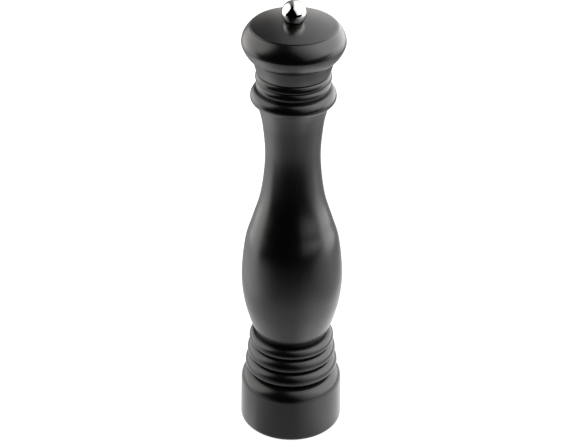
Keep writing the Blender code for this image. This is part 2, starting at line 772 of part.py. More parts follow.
def make_flange(parent):
    """The plate that holds the stator in the body from below, with its three screws."""
    bottom = FLANGE_TOP_Z - FLANGE_T
    flange = ring("flange", FLANGE_R, FLANGE_HOLE_R, bottom, FLANGE_TOP_Z, STEEL, WOOD_STEPS)
    past = (bottom - CUT_PAST, FLANGE_TOP_Z + CUT_PAST)
    cut_screw_holes(flange, FLANGE_SCREW_CIRCLE_R, FLANGE_SCREW_SHANK_R, *past)
    for side, name in ((1, "right"), (-1, "left")):
        slot_size = (BRIDGE_T + 2 * GAP, BRIDGE_TAB_WIDTH + 2 * GAP, FLANGE_T + 2 * CUT_PAST)
        slot_centre = (side * (BRIDGE_LEG_X + BRIDGE_T / 2), 0.0, bottom + FLANGE_T / 2)
        combine(flange, block(f"flange_slot_{name}", slot_size, slot_centre), "DIFFERENCE")
    attach(flange, parent)
    make_screws(
        "flange_screw",
        FLANGE_SCREW_SHANK_R,
        FLANGE_SCREW_HEAD_R,
        FLANGE_SCREW_HEAD_T,
        FLANGE_SCREW_LENGTH,
        FLANGE_SCREW_CIRCLE_R,
        bottom - GAP - FLANGE_SCREW_HEAD_T,
        parent,
    )


def make_mill():
    """Every part, parented to the empty of the joint that moves it."""
    standing = make_empty("standing_parts", 0.0)
    drive = make_empty("head_turn_axis", HEAD_BOTTOM_Z)
    shaft = make_empty("shaft_lift_axis", SHAFT_BOTTOM_Z)
    head = make_empty("head_lift_axis", HEAD_BOTTOM_Z)
    knob = make_empty("knob_turn_axis", KNOB_CENTRE_Z)

    make_body(standing)
    make_stator(standing)
    make_flange(standing)
    make_bridge(standing)
    bush_bottom = make_bridge_bush(standing)

    thrust_top = bush_bottom - GAP
    thrust_bottom = thrust_top - THRUST_WASHER_T
    thrust = disc("thrust_washer", THRUST_WASHER_R, thrust_bottom, thrust_top, STEEL)
    square_hole(thrust, thrust_bottom, thrust_top)
    attach(thrust, drive)

    seat_bottom = ROTOR_LEVELS[0][1] + GAP
    seat_top = seat_bottom + SPRING_WASHER_T
    seat = disc("spring_washer", THRUST_WASHER_R, seat_bottom, seat_top, STEEL)
    square_hole(seat, seat_bottom, seat_top)
    attach(seat, shaft)
    make_spring(drive, seat_top + GAP, thrust_bottom - GAP)

    make_shaft(shaft)
    make_rotor(shaft)

    make_head(head)
    make_head_bush(head)
    make_drive_plate(head)
    make_knob(knob)


make_mill()
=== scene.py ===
"""The looks of a turned pepper mill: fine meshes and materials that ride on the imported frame.

Every length is in metres, in the frame of the CAD model: +Z up, the axis of the mill on Z and
its foot on the floor.
"""

import math
from collections import namedtuple

import bmesh
import bpy
from mathutils import Matrix


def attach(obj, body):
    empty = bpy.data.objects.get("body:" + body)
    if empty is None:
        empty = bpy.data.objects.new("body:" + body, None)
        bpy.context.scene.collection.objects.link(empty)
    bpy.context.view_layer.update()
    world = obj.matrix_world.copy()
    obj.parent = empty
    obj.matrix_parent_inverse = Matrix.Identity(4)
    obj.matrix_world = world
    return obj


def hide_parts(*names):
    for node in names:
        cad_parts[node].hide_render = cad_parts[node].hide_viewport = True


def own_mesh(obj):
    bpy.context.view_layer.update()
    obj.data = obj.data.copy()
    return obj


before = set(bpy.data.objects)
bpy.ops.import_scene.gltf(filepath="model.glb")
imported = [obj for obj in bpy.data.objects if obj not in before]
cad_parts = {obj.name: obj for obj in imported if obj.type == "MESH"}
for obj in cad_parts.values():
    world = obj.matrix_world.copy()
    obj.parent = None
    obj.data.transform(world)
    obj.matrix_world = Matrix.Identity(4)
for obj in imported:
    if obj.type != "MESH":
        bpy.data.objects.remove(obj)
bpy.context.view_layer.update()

# Fineness of the meshes.
WOOD_STEPS = 224
METAL_STEPS = 96
SMALL_STEPS = 48
HOLE_STEPS = 24
SHARP_ANGLE = math.radians(32)
SHAFT_SHARP_ANGLE = math.radians(40)
QUARTER_TURN = math.radians(90)
EASE_STEPS = 5
# An eased corner takes up at most this share of each side.
EASE_LIMIT = 0.45

# Clearance between the parts, as in the CAD model.
GAP = 0.0003

# Turned outside: each point is (radius, height).
ROUND = 2.0
BEAD_POWER = 2.1
BEAD_ROLL = 2 / 3
SHOULDER_POWER = 2.0
CAP_UNDER_POWER = 1.38

FOOT_BOTTOM = (0.03275, 0.0)
FOOT_EDGE = (0.0335, 0.0009)
FOOT_WIDEST = (0.03365, 0.002)
SHOULDER_CREST = (0.0333, 0.0296)
SHOULDER_TOP = (0.0244, 0.03865)

# Base beads, top one first: crease above, crest, where the roll under it would end.
BASE_BEADS = (
    ((0.0232, 0.0681), (0.02785, 0.0634), (0.0241, 0.0602)),
    ((0.0234, 0.05975), (0.0291, 0.0537), (0.0251, 0.0506)),
    ((0.0244, 0.0499), (0.0305, 0.0437), (0.0257, 0.0398)),
)

# Bulb and neck, from under the collar down to the top bead.
NECK_STATIONS = (
    (0.0232, 0.2391),
    (0.0209, 0.2320),
    (0.0190, 0.2220),
    (0.0175, 0.2030),
    (0.0186, 0.1850),
    (0.0212, 0.1690),
    (0.0260, 0.1530),
    (0.0304, 0.1375),
    (0.0327, 0.1135),
    (0.0314, 0.0954),
    (0.0276, 0.0796),
    (0.0235, 0.0686),
)

COLLAR_FOOT = (0.0232, 0.2391)
COLLAR_CREST = (0.0267, 0.2426)
COLLAR_TOP = (0.0228, 0.2480)
RIM_FOOT = (0.0233, 0.2499)
RIM_CREST = (0.0234, 0.2509)
RIM_TOP_R = 0.0214
RIM_POWER = 1.8
BODY_TOP_Z = 0.2541

# Head: a ring at the seam, a plain band and the round cap with its low dome.
HEAD_BOTTOM_Z = BODY_TOP_Z + GAP
SEAM_RING_R = 0.0221
SEAM_RING_CREST = (0.0236, 0.2557)
SEAM_RING_TOP_Z = 0.2592
BAND_BOTTOM = (0.0229, 0.2600)
BAND_MIDDLE = (0.0241, 0.2642)
BAND_TOP = (0.0250, 0.2685)
CAP_CREST = (0.0320, 0.2792)
CAP_ARRIS = (0.02695, 0.2896)
CAP_UPPER_POWER = 2.2
CAP_ARRIS_EASE = 0.0005
CAP_LIP_INNER_R = 0.02655
DOME_EDGE = (0.02645, 0.2901)
DOME_EDGE_EASE = 0.00015
DOME_RISE = 0.0030
DOME_POWER = 2.0
CAP_TOP_Z = DOME_EDGE[1] + DOME_RISE

# Bores of the body.
FOOT_RECESS_R = 0.0258
FOOT_RECESS_Z = 0.0074
MECHANISM_BORE_R = 0.0192
MECHANISM_BORE_TOP_Z = 0.0520
CHAMBER_R = 0.0125
CHAMBER_BOTTOM_Z = 0.0550
CHAMBER_TOP_Z = 0.2380
MOUTH_R = 0.0155
MOUTH_BOTTOM_Z = 0.2392

# Head underside and bore.
TENON_R = MOUTH_R - GAP
TENON_BOTTOM_Z = 0.2430
HEAD_BORE_R = 0.0040
BUSH_RECESS_R = 0.0048
BUSH_RECESS_DEPTH = 0.0011

# Bush that lines the head's bore under the knob.
BUSH_R = HEAD_BORE_R - GAP
BUSH_INNER_R = 0.0028
BUSH_FLANGE_R = BUSH_RECESS_R - GAP
BUSH_TOP_Z = CAP_TOP_Z - 0.0001
BUSH_FLANGE_T = 0.0007
BUSH_BOTTOM_Z = 0.2800

# Knob.
KNOB_R = 0.00765
KNOB_CENTRE_Z = 0.2985
KNOB_BOTTOM_Z = CAP_TOP_Z + GAP
KNOB_HOLE_TOP_Z = 0.3016

# Square drive shaft, threaded round at both ends.
SHAFT_SIDE = 0.0055
SHAFT_EDGE = 0.0004
SHAFT_SQUARE_BOTTOM_Z = 0.0076
SHAFT_SQUARE_TOP_Z = 0.2490
SHAFT_BOTTOM_Z = 0.0012
SHAFT_TOP_Z = 0.2990
THREAD_R = 0.0025
THREAD_PITCH = 0.0008
THREAD_DEPTH = 0.00042
TOP_THREAD_LENGTH = 0.0200
SQUARE_HOLE_SIDE = SHAFT_SIDE + 2 * GAP
ROUND_HOLE_R = THREAD_R + GAP

# Drive plate.
PLATE_R = 0.0125
PLATE_T = 0.0013
PLATE_TOP_Z = TENON_BOTTOM_Z - GAP

# Flange.
FLANGE_R = FOOT_RECESS_R - GAP
FLANGE_HOLE_R = 0.0158
FLANGE_TOP_Z = FOOT_RECESS_Z - GAP
FLANGE_T = 0.0016

# The two circles of three screws, and what every screw shares.
Screws = namedtuple("Screws", "name body circle_r shank_r head_r head_t length")
PLATE_SCREWS = Screws("drive_plate_screw", "head", 0.0088, 0.0011, 0.0021, 0.0008, 0.0070)
FLANGE_SCREWS = Screws("flange_screw", "stand", 0.0223, 0.0015, 0.0029, 0.0013, 0.0095)
SCREW_ANGLES = (90, 210, 330)
SCREW_POINT = 1.5
SCREW_HOLE_PAST = 0.0025
CUT_PAST = 0.002
SLOT_WIDTH = 0.0005
SLOT_DEPTH = 0.0005
SLOT_TURN = math.radians(25)

# Stirrup that bridges the mechanism.
BRIDGE_BOTTOM_Z = 0.0453
BRIDGE_T = 0.0012
BRIDGE_WIDTH = 0.0090
BRIDGE_LEG_X = 0.0171
BRIDGE_TAB_WIDTH = 0.0050
BRIDGE_TAB_BOTTOM_Z = 0.0047
BRIDGE_TAB_T = 0.0010
BRIDGE_HUB_R = 0.0085
BRIDGE_HUB_T = 0.0010
BRIDGE_HOLE_R = 0.0053
BRIDGE_FOLD_R = 0.0020

# Bush in the bridge, and the washers and spring under it.
BRIDGE_BUSH_R = BRIDGE_HOLE_R - GAP
BRIDGE_BUSH_INNER_R = 0.0042
BRIDGE_BUSH_FLANGE_R = 0.0070
BRIDGE_BUSH_FLANGE_T = 0.0014
BRIDGE_BUSH_TOP_Z = 0.0480
WASHER_EASE = 0.00015
THRUST_WASHER_R = 0.0068
THRUST_WASHER_T = 0.0012
SPRING_WASHER_T = 0.0008
SPRING_R = 0.0055
SPRING_WIRE_R = 0.00055
SPRING_TURNS = 6.5
SPRING_END_TURNS = 0.9
SPRING_END_PITCH = 2.16 * SPRING_WIRE_R

# Burrs: (crest radius, height) down each cone.
ROTOR_LEVELS = (
    (0.0060, 0.0254),
    (0.0082, 0.0215),
    (0.0103, 0.0172),
    (0.0123, 0.0130),
    (0.0131, 0.0102),
    (0.0140, 0.0074),
)
STATOR_LEVELS = (
    (0.0119, 0.0244),
    (0.0132, 0.0140),
    (0.0140, 0.0107),
    (0.0149, 0.0074),
)
Burr = namedtuple("Burr", "levels teeth depth twist inward per_tooth")
ROTOR = Burr(ROTOR_LEVELS, 14, 0.0012, math.radians(70), True, 16)
STATOR = Burr(STATOR_LEVELS, 20, 0.0009, math.radians(-30), False, 12)
STATOR_R = 0.0168
STATOR_RIM_R = MECHANISM_BORE_R - GAP
STATOR_RIM_T = 0.0028
STATOR_KEY_WIDTH = BRIDGE_WIDTH + 2 * GAP

# Washer and nut that hold the rotor on the shaft.
ROTOR_WASHER_R = 0.0060
ROTOR_WASHER_T = 0.0011
NUT_ACROSS_FLATS = 0.0080
NUT_T = 0.0034


# -------- shapes


def flank(crest, crease, power, count):
    """Points from a crest to a crease, along a quarter of a superellipse."""
    points = []
    for step in range(count + 1):
        turn = QUARTER_TURN * step / count
        radius = crease[0] + (crest[0] - crease[0]) * math.cos(turn) ** (2 / power)
        height = crest[1] + (crease[1] - crest[1]) * math.sin(turn) ** (2 / power)
        points.append((radius, height))
    return points


def bead(top, crest, bottom, power, roll=1.0):
    """Points down a bead, from the crease above it through a share of the roll under it."""
    upper = flank(crest, top, power, 24)
    lower_steps = 18
    lower = flank(crest, bottom, ROUND, lower_steps)
    return upper[::-1] + lower[1 : round(lower_steps * roll) + 1]


def weighted(weights, points):
    """The weighted sum of (radius, height) points."""
    return tuple(sum(share * point[axis] for share, point in zip(weights, points)) for axis in (0, 1))


def smooth_curve(stations, splits):
    """A Catmull-Rom curve through the stations, with each span in that many pieces."""
    ends = [stations[0], *stations, stations[-1]]
    points = [stations[0]]
    for index in range(1, len(stations)):
        before, start, end, after = ends[index - 1 : index + 3]
        for step in range(1, splits + 1):
            t = step / splits
            weights = (
                (-(t**3) + 2 * t**2 - t) / 2,
                (3 * t**3 - 5 * t**2 + 2) / 2,
                (-3 * t**3 + 4 * t**2 + t) / 2,
                (t**3 - t**2) / 2,
            )
            points.append(weighted(weights, (before, start, end, after)))
    return points


def eased(outline, closed):
    """Rounds each corner that carries an easing length as its third value."""
    points = []
    count = len(outline)
    for index, corner in enumerate(outline):
        at_end = not closed and index in (0, count - 1)
        if len(corner) < 3 or at_end:
            points.append((corner[0], corner[1]))
            continue
        before = outline[index - 1]
        after = outline[(index + 1) % count]
        ends = []
        for other in (before, after):
            run = math.hypot(other[0] - corner[0], other[1] - corner[1])
            share = min(corner[2] / run, EASE_LIMIT)
            ends.append([corner[axis] + (other[axis] - corner[axis]) * share for axis in (0, 1)])
        for step in range(EASE_STEPS + 1):
            t = step / EASE_STEPS
            weights = ((1 - t) ** 2, 2 * t * (1 - t), t**2)
            points.append(weighted(weights, (ends[0], corner, ends[1])))
    return points


# -------- meshes


def add_object(name, data):
    """A new object in the scene."""
    made = bpy.data.objects.new(name, data)
    bpy.context.scene.collection.objects.link(made)
    return made


def finish_mesh(shape, name, sharp=SHARP_ANGLE):
    """Turns a bmesh into an object in the scene, shaded smooth between its sharp edges."""
    mesh = bpy.data.meshes.new(name)
    shape.to_mesh(mesh)
    shape.free()
    mesh.shade_smooth()
    mesh.set_sharp_from_angle(angle=sharp)
    return add_object(name, mesh)


def loft(name, rings, closed=False, second_from=None, sharp=SHARP_ANGLE):
    """A surface through rings of points that run down its outer side.

    A ring of one point is a pole. Faces from the ring numbered second_from on take the
    second material.
    """
    shape = bmesh.new()
    rows = [[shape.verts.new(point) for point in ring] for ring in rings]
    pairs = list(zip(rows, rows[1:]))
    if closed:
        pairs.append((rows[-1], rows[0]))
    for number, (upper, lower) in enumerate(pairs):
        count = max(len(upper), len(lower))
        for index in range(count):
            after = (index + 1) % count
            if len(upper) == 1:
                corners = (upper[0], lower[index], lower[after])
            elif len(lower) == 1:
                corners = (upper[index], lower[0], upper[after])
            else:
                corners = (upper[index], lower[index], lower[after], upper[after])
            face = shape.faces.new(corners)
            if second_from is not None and number >= second_from:
                face.material_index = 1
    return finish_mesh(shape, name, sharp)


def around(radius, turn, height):
    """A point at a radius, a turn about Z and a height."""
    return (radius * math.cos(turn), radius * math.sin(turn), height)


def ring_of(radius, height, steps):
    """One ring of points about the axis, or a pole where the radius is nothing."""
    if radius < 1e-7:
        return [(0.0, 0.0, height)]
    return [around(radius, turn, height) for turn in even_turns(steps)]


def turned(name, outline, steps=METAL_STEPS, closed=False, second_from=None):
    """A profile of (radius, height) turned about Z, with its corners eased."""
    rings = [ring_of(radius, height, steps) for radius, height in eased(outline, closed)]
    return loft(name, rings, closed, second_from)


def block(name, size, centre):
    """A block, for cutting."""
    shape = bmesh.new()
    bmesh.ops.create_cube(shape, size=1.0)
    bmesh.ops.scale(shape, vec=size, verts=shape.verts)
    bmesh.ops.translate(shape, vec=centre, verts=shape.verts)
    return finish_mesh(shape, name)


def rod(name, radius, bottom_z, top_z, x=0.0, y=0.0, steps=SMALL_STEPS):
    """A round rod, for cutting."""
    outline = ((0.0, top_z), (radius, top_z), (radius, bottom_z), (0.0, bottom_z))
    made = turned(name, outline, steps)
    made.data.transform(Matrix.Translation((x, y, 0.0)))
    return made


def combine(target, tools, operation="DIFFERENCE", solver="EXACT"):
    """Applies a Boolean of each tool to the target, and removes the tools."""
    for tool in tools:
        boolean = target.modifiers.new("cut", "BOOLEAN")
        boolean.operation = operation
        boolean.solver = solver
        boolean.object = tool
    bpy.context.view_layer.update()
    depsgraph = bpy.context.evaluated_depsgraph_get()
    mesh = bpy.data.meshes.new_from_object(target.evaluated_get(depsgraph))
    target.modifiers.clear()
    if not mesh.polygons:
        raise RuntimeError(f"the Boolean left nothing of {target.name}")
    old = target.data
    mesh.name = old.name
    target.data = mesh
    bpy.data.meshes.remove(old)
    for tool in tools:
        bpy.data.objects.remove(tool)
    mesh.shade_smooth()
    mesh.set_sharp_from_angle(angle=SHARP_ANGLE)


def both_sides(size, x, height):
    """Two blocks, one on each side of the axis."""
    return [block(f"side_{side}", size, (side * x, 0.0, height)) for side in (1, -1)]


def screw_places(circle_r):
    """Where the three screws of a circle stand: number, x, y and turn."""
    for number, degrees in enumerate(SCREW_ANGLES, 1):
        turn = math.radians(degrees)
        yield number, circle_r * math.cos(turn), circle_r * math.sin(turn), turn


def screw_holes(screws, bottom_z, top_z):
    """Cutters for three screw holes."""
    radius = screws.shank_r + GAP
    cutters = []
    for number, x, y, _ in screw_places(screws.circle_r):
        cutters.append(rod(f"hole_{number}", radius, bottom_z, top_z, x, y, HOLE_STEPS))
    return cutters


def body_outline():
    """The body's section: down the turned outside, then up through the bores."""
    outside = [(MOUTH_R + 0.0010, BODY_TOP_Z)]
    outside += flank(RIM_CREST, (RIM_TOP_R, BODY_TOP_Z), RIM_POWER, 18)[::-1]
    outside.append((*RIM_FOOT, 0.0002))
    outside += bead(COLLAR_TOP, COLLAR_CREST, COLLAR_FOOT, ROUND)
    outside += smooth_curve(NECK_STATIONS, 10)[1:]
    for top, crest, bottom in BASE_BEADS:
        outside += bead(top, crest, bottom, BEAD_POWER, BEAD_ROLL)
    outside += flank(SHOULDER_CREST, SHOULDER_TOP, SHOULDER_POWER, 28)[::-1]
    outside += [(*FOOT_WIDEST, 0.0006), (*FOOT_EDGE, 0.0004), (*FOOT_BOTTOM, 0.0003)]
    inside = [
        (FOOT_RECESS_R, 0.0, 0.0006),
        (FOOT_RECESS_R, FOOT_RECESS_Z),
        (MECHANISM_BORE_R, FOOT_RECESS_Z, 0.0003),
        (MECHANISM_BORE_R, MECHANISM_BORE_TOP_Z),
        (CHAMBER_R, CHAMBER_BOTTOM_Z, 0.0005),
        (CHAMBER_R, CHAMBER_TOP_Z),
        (MOUTH_R, MOUTH_BOTTOM_Z),
        (MOUTH_R, BODY_TOP_Z - 0.0006),
        (MOUTH_R, BODY_TOP_Z, 0.0004),
    ]
    painted = len(eased(outside, closed=False)) - 1
    return eased(outside + inside, closed=True), painted + EASE_STEPS


def head_outline():
    """The head's section: down the cap, the ring and the tenon, then up the bore."""
    dome = []
    dome_steps = 26
    for step in range(dome_steps):
        share = step / dome_steps
        radius = BUSH_RECESS_R + (DOME_EDGE[0] - BUSH_RECESS_R) * share
        rise = 1 - (radius / DOME_EDGE[0]) ** DOME_POWER
        dome.append((radius, DOME_EDGE[1] + DOME_RISE * rise))
    dome[0] = (*dome[0], 0.0001)
    upper = []
    cap_steps = 24
    for step in range(cap_steps - 1, -1, -1):
        rise = step / cap_steps
        radius = CAP_CREST[0] - (CAP_CREST[0] - CAP_ARRIS[0]) * rise**CAP_UPPER_POWER
        upper.append((radius, CAP_CREST[1] + (CAP_ARRIS[1] - CAP_CREST[1]) * rise))
    under = flank(CAP_CREST, BAND_TOP, CAP_UNDER_POWER, 30)
    band = smooth_curve((BAND_TOP, BAND_MIDDLE, BAND_BOTTOM), 8)[1:]
    ring_top = (SEAM_RING_R, SEAM_RING_TOP_Z)
    ring_bottom = (SEAM_RING_R, HEAD_BOTTOM_Z)
    seam_ring = flank(SEAM_RING_CREST, ring_top, ROUND, 12)[::-1]
    seam_ring += flank(SEAM_RING_CREST, ring_bottom, ROUND, 12)[1:]
    lip = [
        (*DOME_EDGE, DOME_EDGE_EASE),
        (CAP_LIP_INNER_R, CAP_ARRIS[1]),
        (*CAP_ARRIS, CAP_ARRIS_EASE),
    ]
    outside = dome + lip + upper + under[1:] + band + seam_ring
    tenon = [(TENON_R, HEAD_BOTTOM_Z), (TENON_R, TENON_BOTTOM_Z, 0.0008)]
    bore = [
        (HEAD_BORE_R, TENON_BOTTOM_Z, 0.0003),
        (HEAD_BORE_R, CAP_TOP_Z - BUSH_RECESS_DEPTH),
        (BUSH_RECESS_R, CAP_TOP_Z - BUSH_RECESS_DEPTH),
    ]
    painted = len(eased(outside, closed=False)) - 1
    return eased(outside + tenon + bore, closed=True), painted + EASE_STEPS


def knob_outline():
    """The knob's section: down the ball to its seat, then up the blind threaded hole."""
    seat_angle = math.acos((KNOB_BOTTOM_Z - KNOB_CENTRE_Z) / KNOB_R)
    seat_r = KNOB_R * math.sin(seat_angle)
    ball = []
    steps = 56
    for step in range(steps):
        turn = seat_angle * step / steps
        ball.append((KNOB_R * math.sin(turn), KNOB_CENTRE_Z + KNOB_R * math.cos(turn)))
    foot = [
        (seat_r, KNOB_BOTTOM_Z, 0.0002),
        (ROUND_HOLE_R + 0.0004, KNOB_BOTTOM_Z),
        (ROUND_HOLE_R, KNOB_BOTTOM_Z + 0.0004),
        (ROUND_HOLE_R, KNOB_HOLE_TOP_Z),
        (0.0, KNOB_HOLE_TOP_Z + ROUND_HOLE_R / 2),
    ]
    return ball + foot


def rounded_square(half, edge):
    """Angles and radii of a square with eased corners, counted from +X."""
    corner = math.atan2(half - edge, half)
    places = []
    for quarter in range(4):
        base = quarter * QUARTER_TURN
        for step in range(9):
            turn = -corner + 2 * corner * step / 8
            places.append((base + turn, half / math.cos(turn)))
        for step in range(1, 4):
            share = step / 4
            turn = corner + (QUARTER_TURN - 2 * corner) * share
            lean = abs(turn - math.radians(45))
            chamfer = (2 * half - edge) / math.sqrt(2)
            bulge = edge * 0.12 * math.sin(math.pi * share)
            places.append((base + turn, chamfer / math.cos(lean) + bulge))
    return places


def thread_radius(turn, height, radius, depth, pitch):
    """The radius of a right-hand thread at one angle and height."""
    phase = (height / pitch - turn / math.tau) % 1.0
    dip = 1 - abs(2 * phase - 1)
    flat = min(max((dip - 0.1) / 0.8, 0.0), 1.0)
    return radius - depth * flat


def thread_ring(turns, height, radius, depth, pitch, shrink=0.0):
    """One ring of points around a thread."""
    points = []
    for turn in turns:
        reach = thread_radius(turn, height, radius, depth, pitch) - shrink
        points.append(around(reach, turn, height))
    return points


def even_turns(steps):
    """Angles spread evenly over a full turn."""
    return [math.tau * step / steps for step in range(steps)]


def shaft_rings():
    """Rings down the shaft: threaded top, plain rod, square bar, threaded end."""
    square = rounded_square(SHAFT_SIDE / 2, SHAFT_EDGE)
    turns = [turn for turn, _ in square]

    def round_ring(height, depth, shrink=0.0):
        return thread_ring(turns, height, THREAD_R, depth, THREAD_PITCH, shrink)

    def square_ring(height, inset):
        return [around(radius - inset, turn, height) for turn, radius in square]

    def threaded(height, to_plain, to_end):
        """A ring of thread, which fades out at its plain end and is chamfered at the other."""
        shrink = max(0.0, chamfer - to_end)
        fade = min(1.0, to_plain / THREAD_PITCH)
        depth = min(THREAD_DEPTH * fade, max(THREAD_DEPTH - shrink, 0.0))
        return round_ring(height, depth, shrink)

    step = THREAD_PITCH / 10
    chamfer = 0.0005
    rings = [[(0.0, 0.0, SHAFT_TOP_Z)], round_ring(SHAFT_TOP_Z, 0.0, chamfer)]
    count = round(TOP_THREAD_LENGTH / step)
    for index in range(1, count + 1):
        below = index * step
        rings.append(threaded(SHAFT_TOP_Z - below, TOP_THREAD_LENGTH - below, below))
    rings.append(round_ring(SHAFT_SQUARE_TOP_Z + GAP, 0.0))
    rings.append(square_ring(SHAFT_SQUARE_TOP_Z, 0.0003))
    bar_top = SHAFT_SQUARE_TOP_Z - 0.0004
    length = SHAFT_SQUARE_TOP_Z - SHAFT_SQUARE_BOTTOM_Z
    bands = 24
    for index in range(bands):
        rings.append(square_ring(bar_top - (length - 0.0007) * index / bands, 0.0))
    rings.append(square_ring(SHAFT_SQUARE_BOTTOM_Z + 0.0003, 0.0))
    rings.append(square_ring(SHAFT_SQUARE_BOTTOM_Z, 0.0002))
    rings.append(round_ring(SHAFT_SQUARE_BOTTOM_Z, 0.0))
    start = SHAFT_SQUARE_BOTTOM_Z - 0.0002
    count = int((start - SHAFT_BOTTOM_Z) / step)
    for index in range(count + 1):
        height = start - index * step
        rings.append(threaded(height, index * step, height - SHAFT_BOTTOM_Z))
    rings.append(round_ring(SHAFT_BOTTOM_Z, 0.0, chamfer))
    rings.append([(0.0, 0.0, SHAFT_BOTTOM_Z)])
    return rings


def level_radius(levels, height):
    """The crest radius of a burr at a height, along its levels."""
    for (upper_r, upper_z), (lower_r, lower_z) in zip(levels, levels[1:]):
        if height >= lower_z - 1e-9:
            share = min(max((upper_z - height) / (upper_z - lower_z), 0.0), 1.0)
            return upper_r + (lower_r - upper_r) * share
    return levels[-1][0]


def tooth_dip(share):
    """How deep a tooth's valley is at a share of its pitch: steep cutting face, hollow back."""
    if share < 0.08:
        return 0.0
    if share < 0.22:
        return math.sin(QUARTER_TURN * (share - 0.08) / 0.14)
    return math.cos(QUARTER_TURN * (share - 0.22) / 0.78) ** 0.8


def toothed_ring(burr, height):
    """One ring of a burr's toothed cone, whose teeth dip inwards or outwards."""
    top_z = burr.levels[0][1]
    lean = burr.twist * (top_z - height) / (top_z - burr.levels[-1][1])
    crest = level_radius(burr.levels, height)
    points = []
    for tooth in range(burr.teeth):
        for step in range(burr.per_tooth):
            share = step / burr.per_tooth
            turn = lean + math.tau * (tooth + share) / burr.teeth
            dip = burr.depth * tooth_dip(share)
            radius = crest - dip if burr.inward else crest + dip
            points.append(around(radius, turn, height))
    return points


def heights_between(top_z, bottom_z, count):
    """Evenly spaced heights, with both ends among them."""
    return [top_z + (bottom_z - top_z) * index / count for index in range(count + 1)]


def wood_screw(screws):
    """A slotted round-head wood screw, point up, with its head's underside at height 0."""
    shank_r, head_r, head_t, length = screws[3:]
    steps = SMALL_STEPS
    pitch = shank_r * 0.9
    point = length + shank_r * SCREW_POINT
    rings = [[(0.0, 0.0, point)]]
    step = pitch / 8
    tip = 0.1 * pitch
    plain = 0.3 * length
    count = int((point - tip - plain) / step)
    for index in range(count):
        height = point - tip - index * step
        taper = min(1.0, (point - height) / (point - length))
        fade = min(1.0, (count - 1 - index) * step / pitch)
        depth = shank_r * 0.3 * fade * taper
        rings.append(thread_ring(even_turns(steps), height, shank_r * taper, depth, pitch))
    dome = flank((head_r, -0.15 * head_t), (0.0, -head_t), 2.3, 12)
    outline = [(shank_r, 0.28 * length), (shank_r, 0.0), (head_r - 0.1 * head_t, 0.0), *dome[:-1]]
    rings += [ring_of(radius, height, steps) for radius, height in outline]
    rings.append([(0.0, 0.0, -head_t)])
    made = loft(f"{screws.name}_shape", rings)
    size = (2.4 * head_r, SLOT_WIDTH, 2 * SLOT_DEPTH)
    combine(made, [block("slot", size, (0.0, 0.0, -head_t))])
    return made


# -------- materials


def node(tree, kind, inputs=None, **settings):
    """A node with its settings, whose inputs take values or other nodes' outputs."""
    made = tree.nodes.new(kind)
    for key, value in settings.items():
        setattr(made, key, value)
    for key, value in (inputs or {}).items():
        if isinstance(value, bpy.types.NodeSocket):
            tree.links.new(value, made.inputs[key])
        else:
            made.inputs[key].default_value = value
    return made


def start_material(name, sockets):
    """A Principled material with the values that are the same all over it."""
    material = bpy.data.materials.new(name)
    material.use_nodes = True
    tree = material.node_tree
    shader = tree.nodes["Principled BSDF"]
    for key, value in sockets.items():
        shader.inputs[key].default_value = value
    return material, tree


def noise(tree, scale, detail=3.0, roughness=0.5, warp=0.0):
    """Noise in the object's own coordinates, with a scale for each axis, per metre."""
    place = node(tree, "ShaderNodeTexCoord").outputs["Object"]
    mapped = node(tree, "ShaderNodeMapping", {"Vector": place, "Scale": scale})
    inputs = {"Vector": mapped.outputs["Vector"], "Scale": 1.0, "Detail": detail}
    inputs.update({"Roughness": roughness, "Distortion": warp})
    return node(tree, "ShaderNodeTexNoise", inputs).outputs["Fac"]


def remap(tree, value, old, new):
    """The value moved from one range to another, and held inside it."""
    inputs = {"Value": value, "From Min": old[0], "From Max": old[1]}
    inputs.update({"To Min": new[0], "To Max": new[1]})
    return node(tree, "ShaderNodeMapRange", inputs).outputs["Result"]


def math_node(tree, operation, first, second=0.0, third=0.0):
    """A Math node."""
    made = node(tree, "ShaderNodeMath", {0: first, 1: second, 2: third}, operation=operation)
    return made.outputs["Value"]


def times(tree, first, second):
    """The product of two values."""
    return math_node(tree, "MULTIPLY", first, second)


def blend_colors(tree, share, first, second):
    """A mix of two colours."""
    made = node(tree, "ShaderNodeMix", {0: share, 6: first, 7: second}, data_type="RGBA")
    return made.outputs[2]


def surface(tree, color, roughness, layers):
    """Feeds the shader its colour, its roughness and bump layers of (height, metres)."""
    shader = tree.nodes["Principled BSDF"]
    tree.links.new(color, shader.inputs["Base Color"])
    tree.links.new(roughness, shader.inputs["Roughness"])
    normal = None
    for height, distance in layers:
        inputs = {"Height": height, "Distance": distance, "Strength": 1.0}
        if normal:
            inputs["Normal"] = normal
        normal = node(tree, "ShaderNodeBump", inputs).outputs["Normal"]
    tree.links.new(normal, shader.inputs["Normal"])


def lacquer():
    """Satin black lacquer that lets the beech's grain show through faintly."""
    material, tree = start_material("black_lacquered_beech", {"Specular IOR Level": 0.5})
    grain = noise(tree, (1500.0, 1500.0, 60.0), 4.0, 0.6)
    flecks = noise(tree, (2600.0, 2600.0, 320.0), 2.0)
    patches = noise(tree, (45.0, 45.0, 30.0), 3.0)
    peel = noise(tree, (1100.0, 1100.0, 1100.0), 1.0)
    tone = remap(tree, grain, (0.35, 0.7), (0.0, 1.0))
    color = blend_colors(tree, tone, (0.0004, 0.0004, 0.0004, 1.0), (0.0012, 0.0011, 0.0010, 1.0))
    streaks = remap(tree, grain, (0.3, 0.7), (-0.010, 0.015))
    smudges = remap(tree, patches, (0.35, 0.65), (0.235, 0.260))
    roughness = math_node(tree, "ADD", streaks, smudges)
    layers = [(grain, 0.000006), (flecks, 0.000004), (peel, 0.000003)]
    surface(tree, color, roughness, layers)
    return material


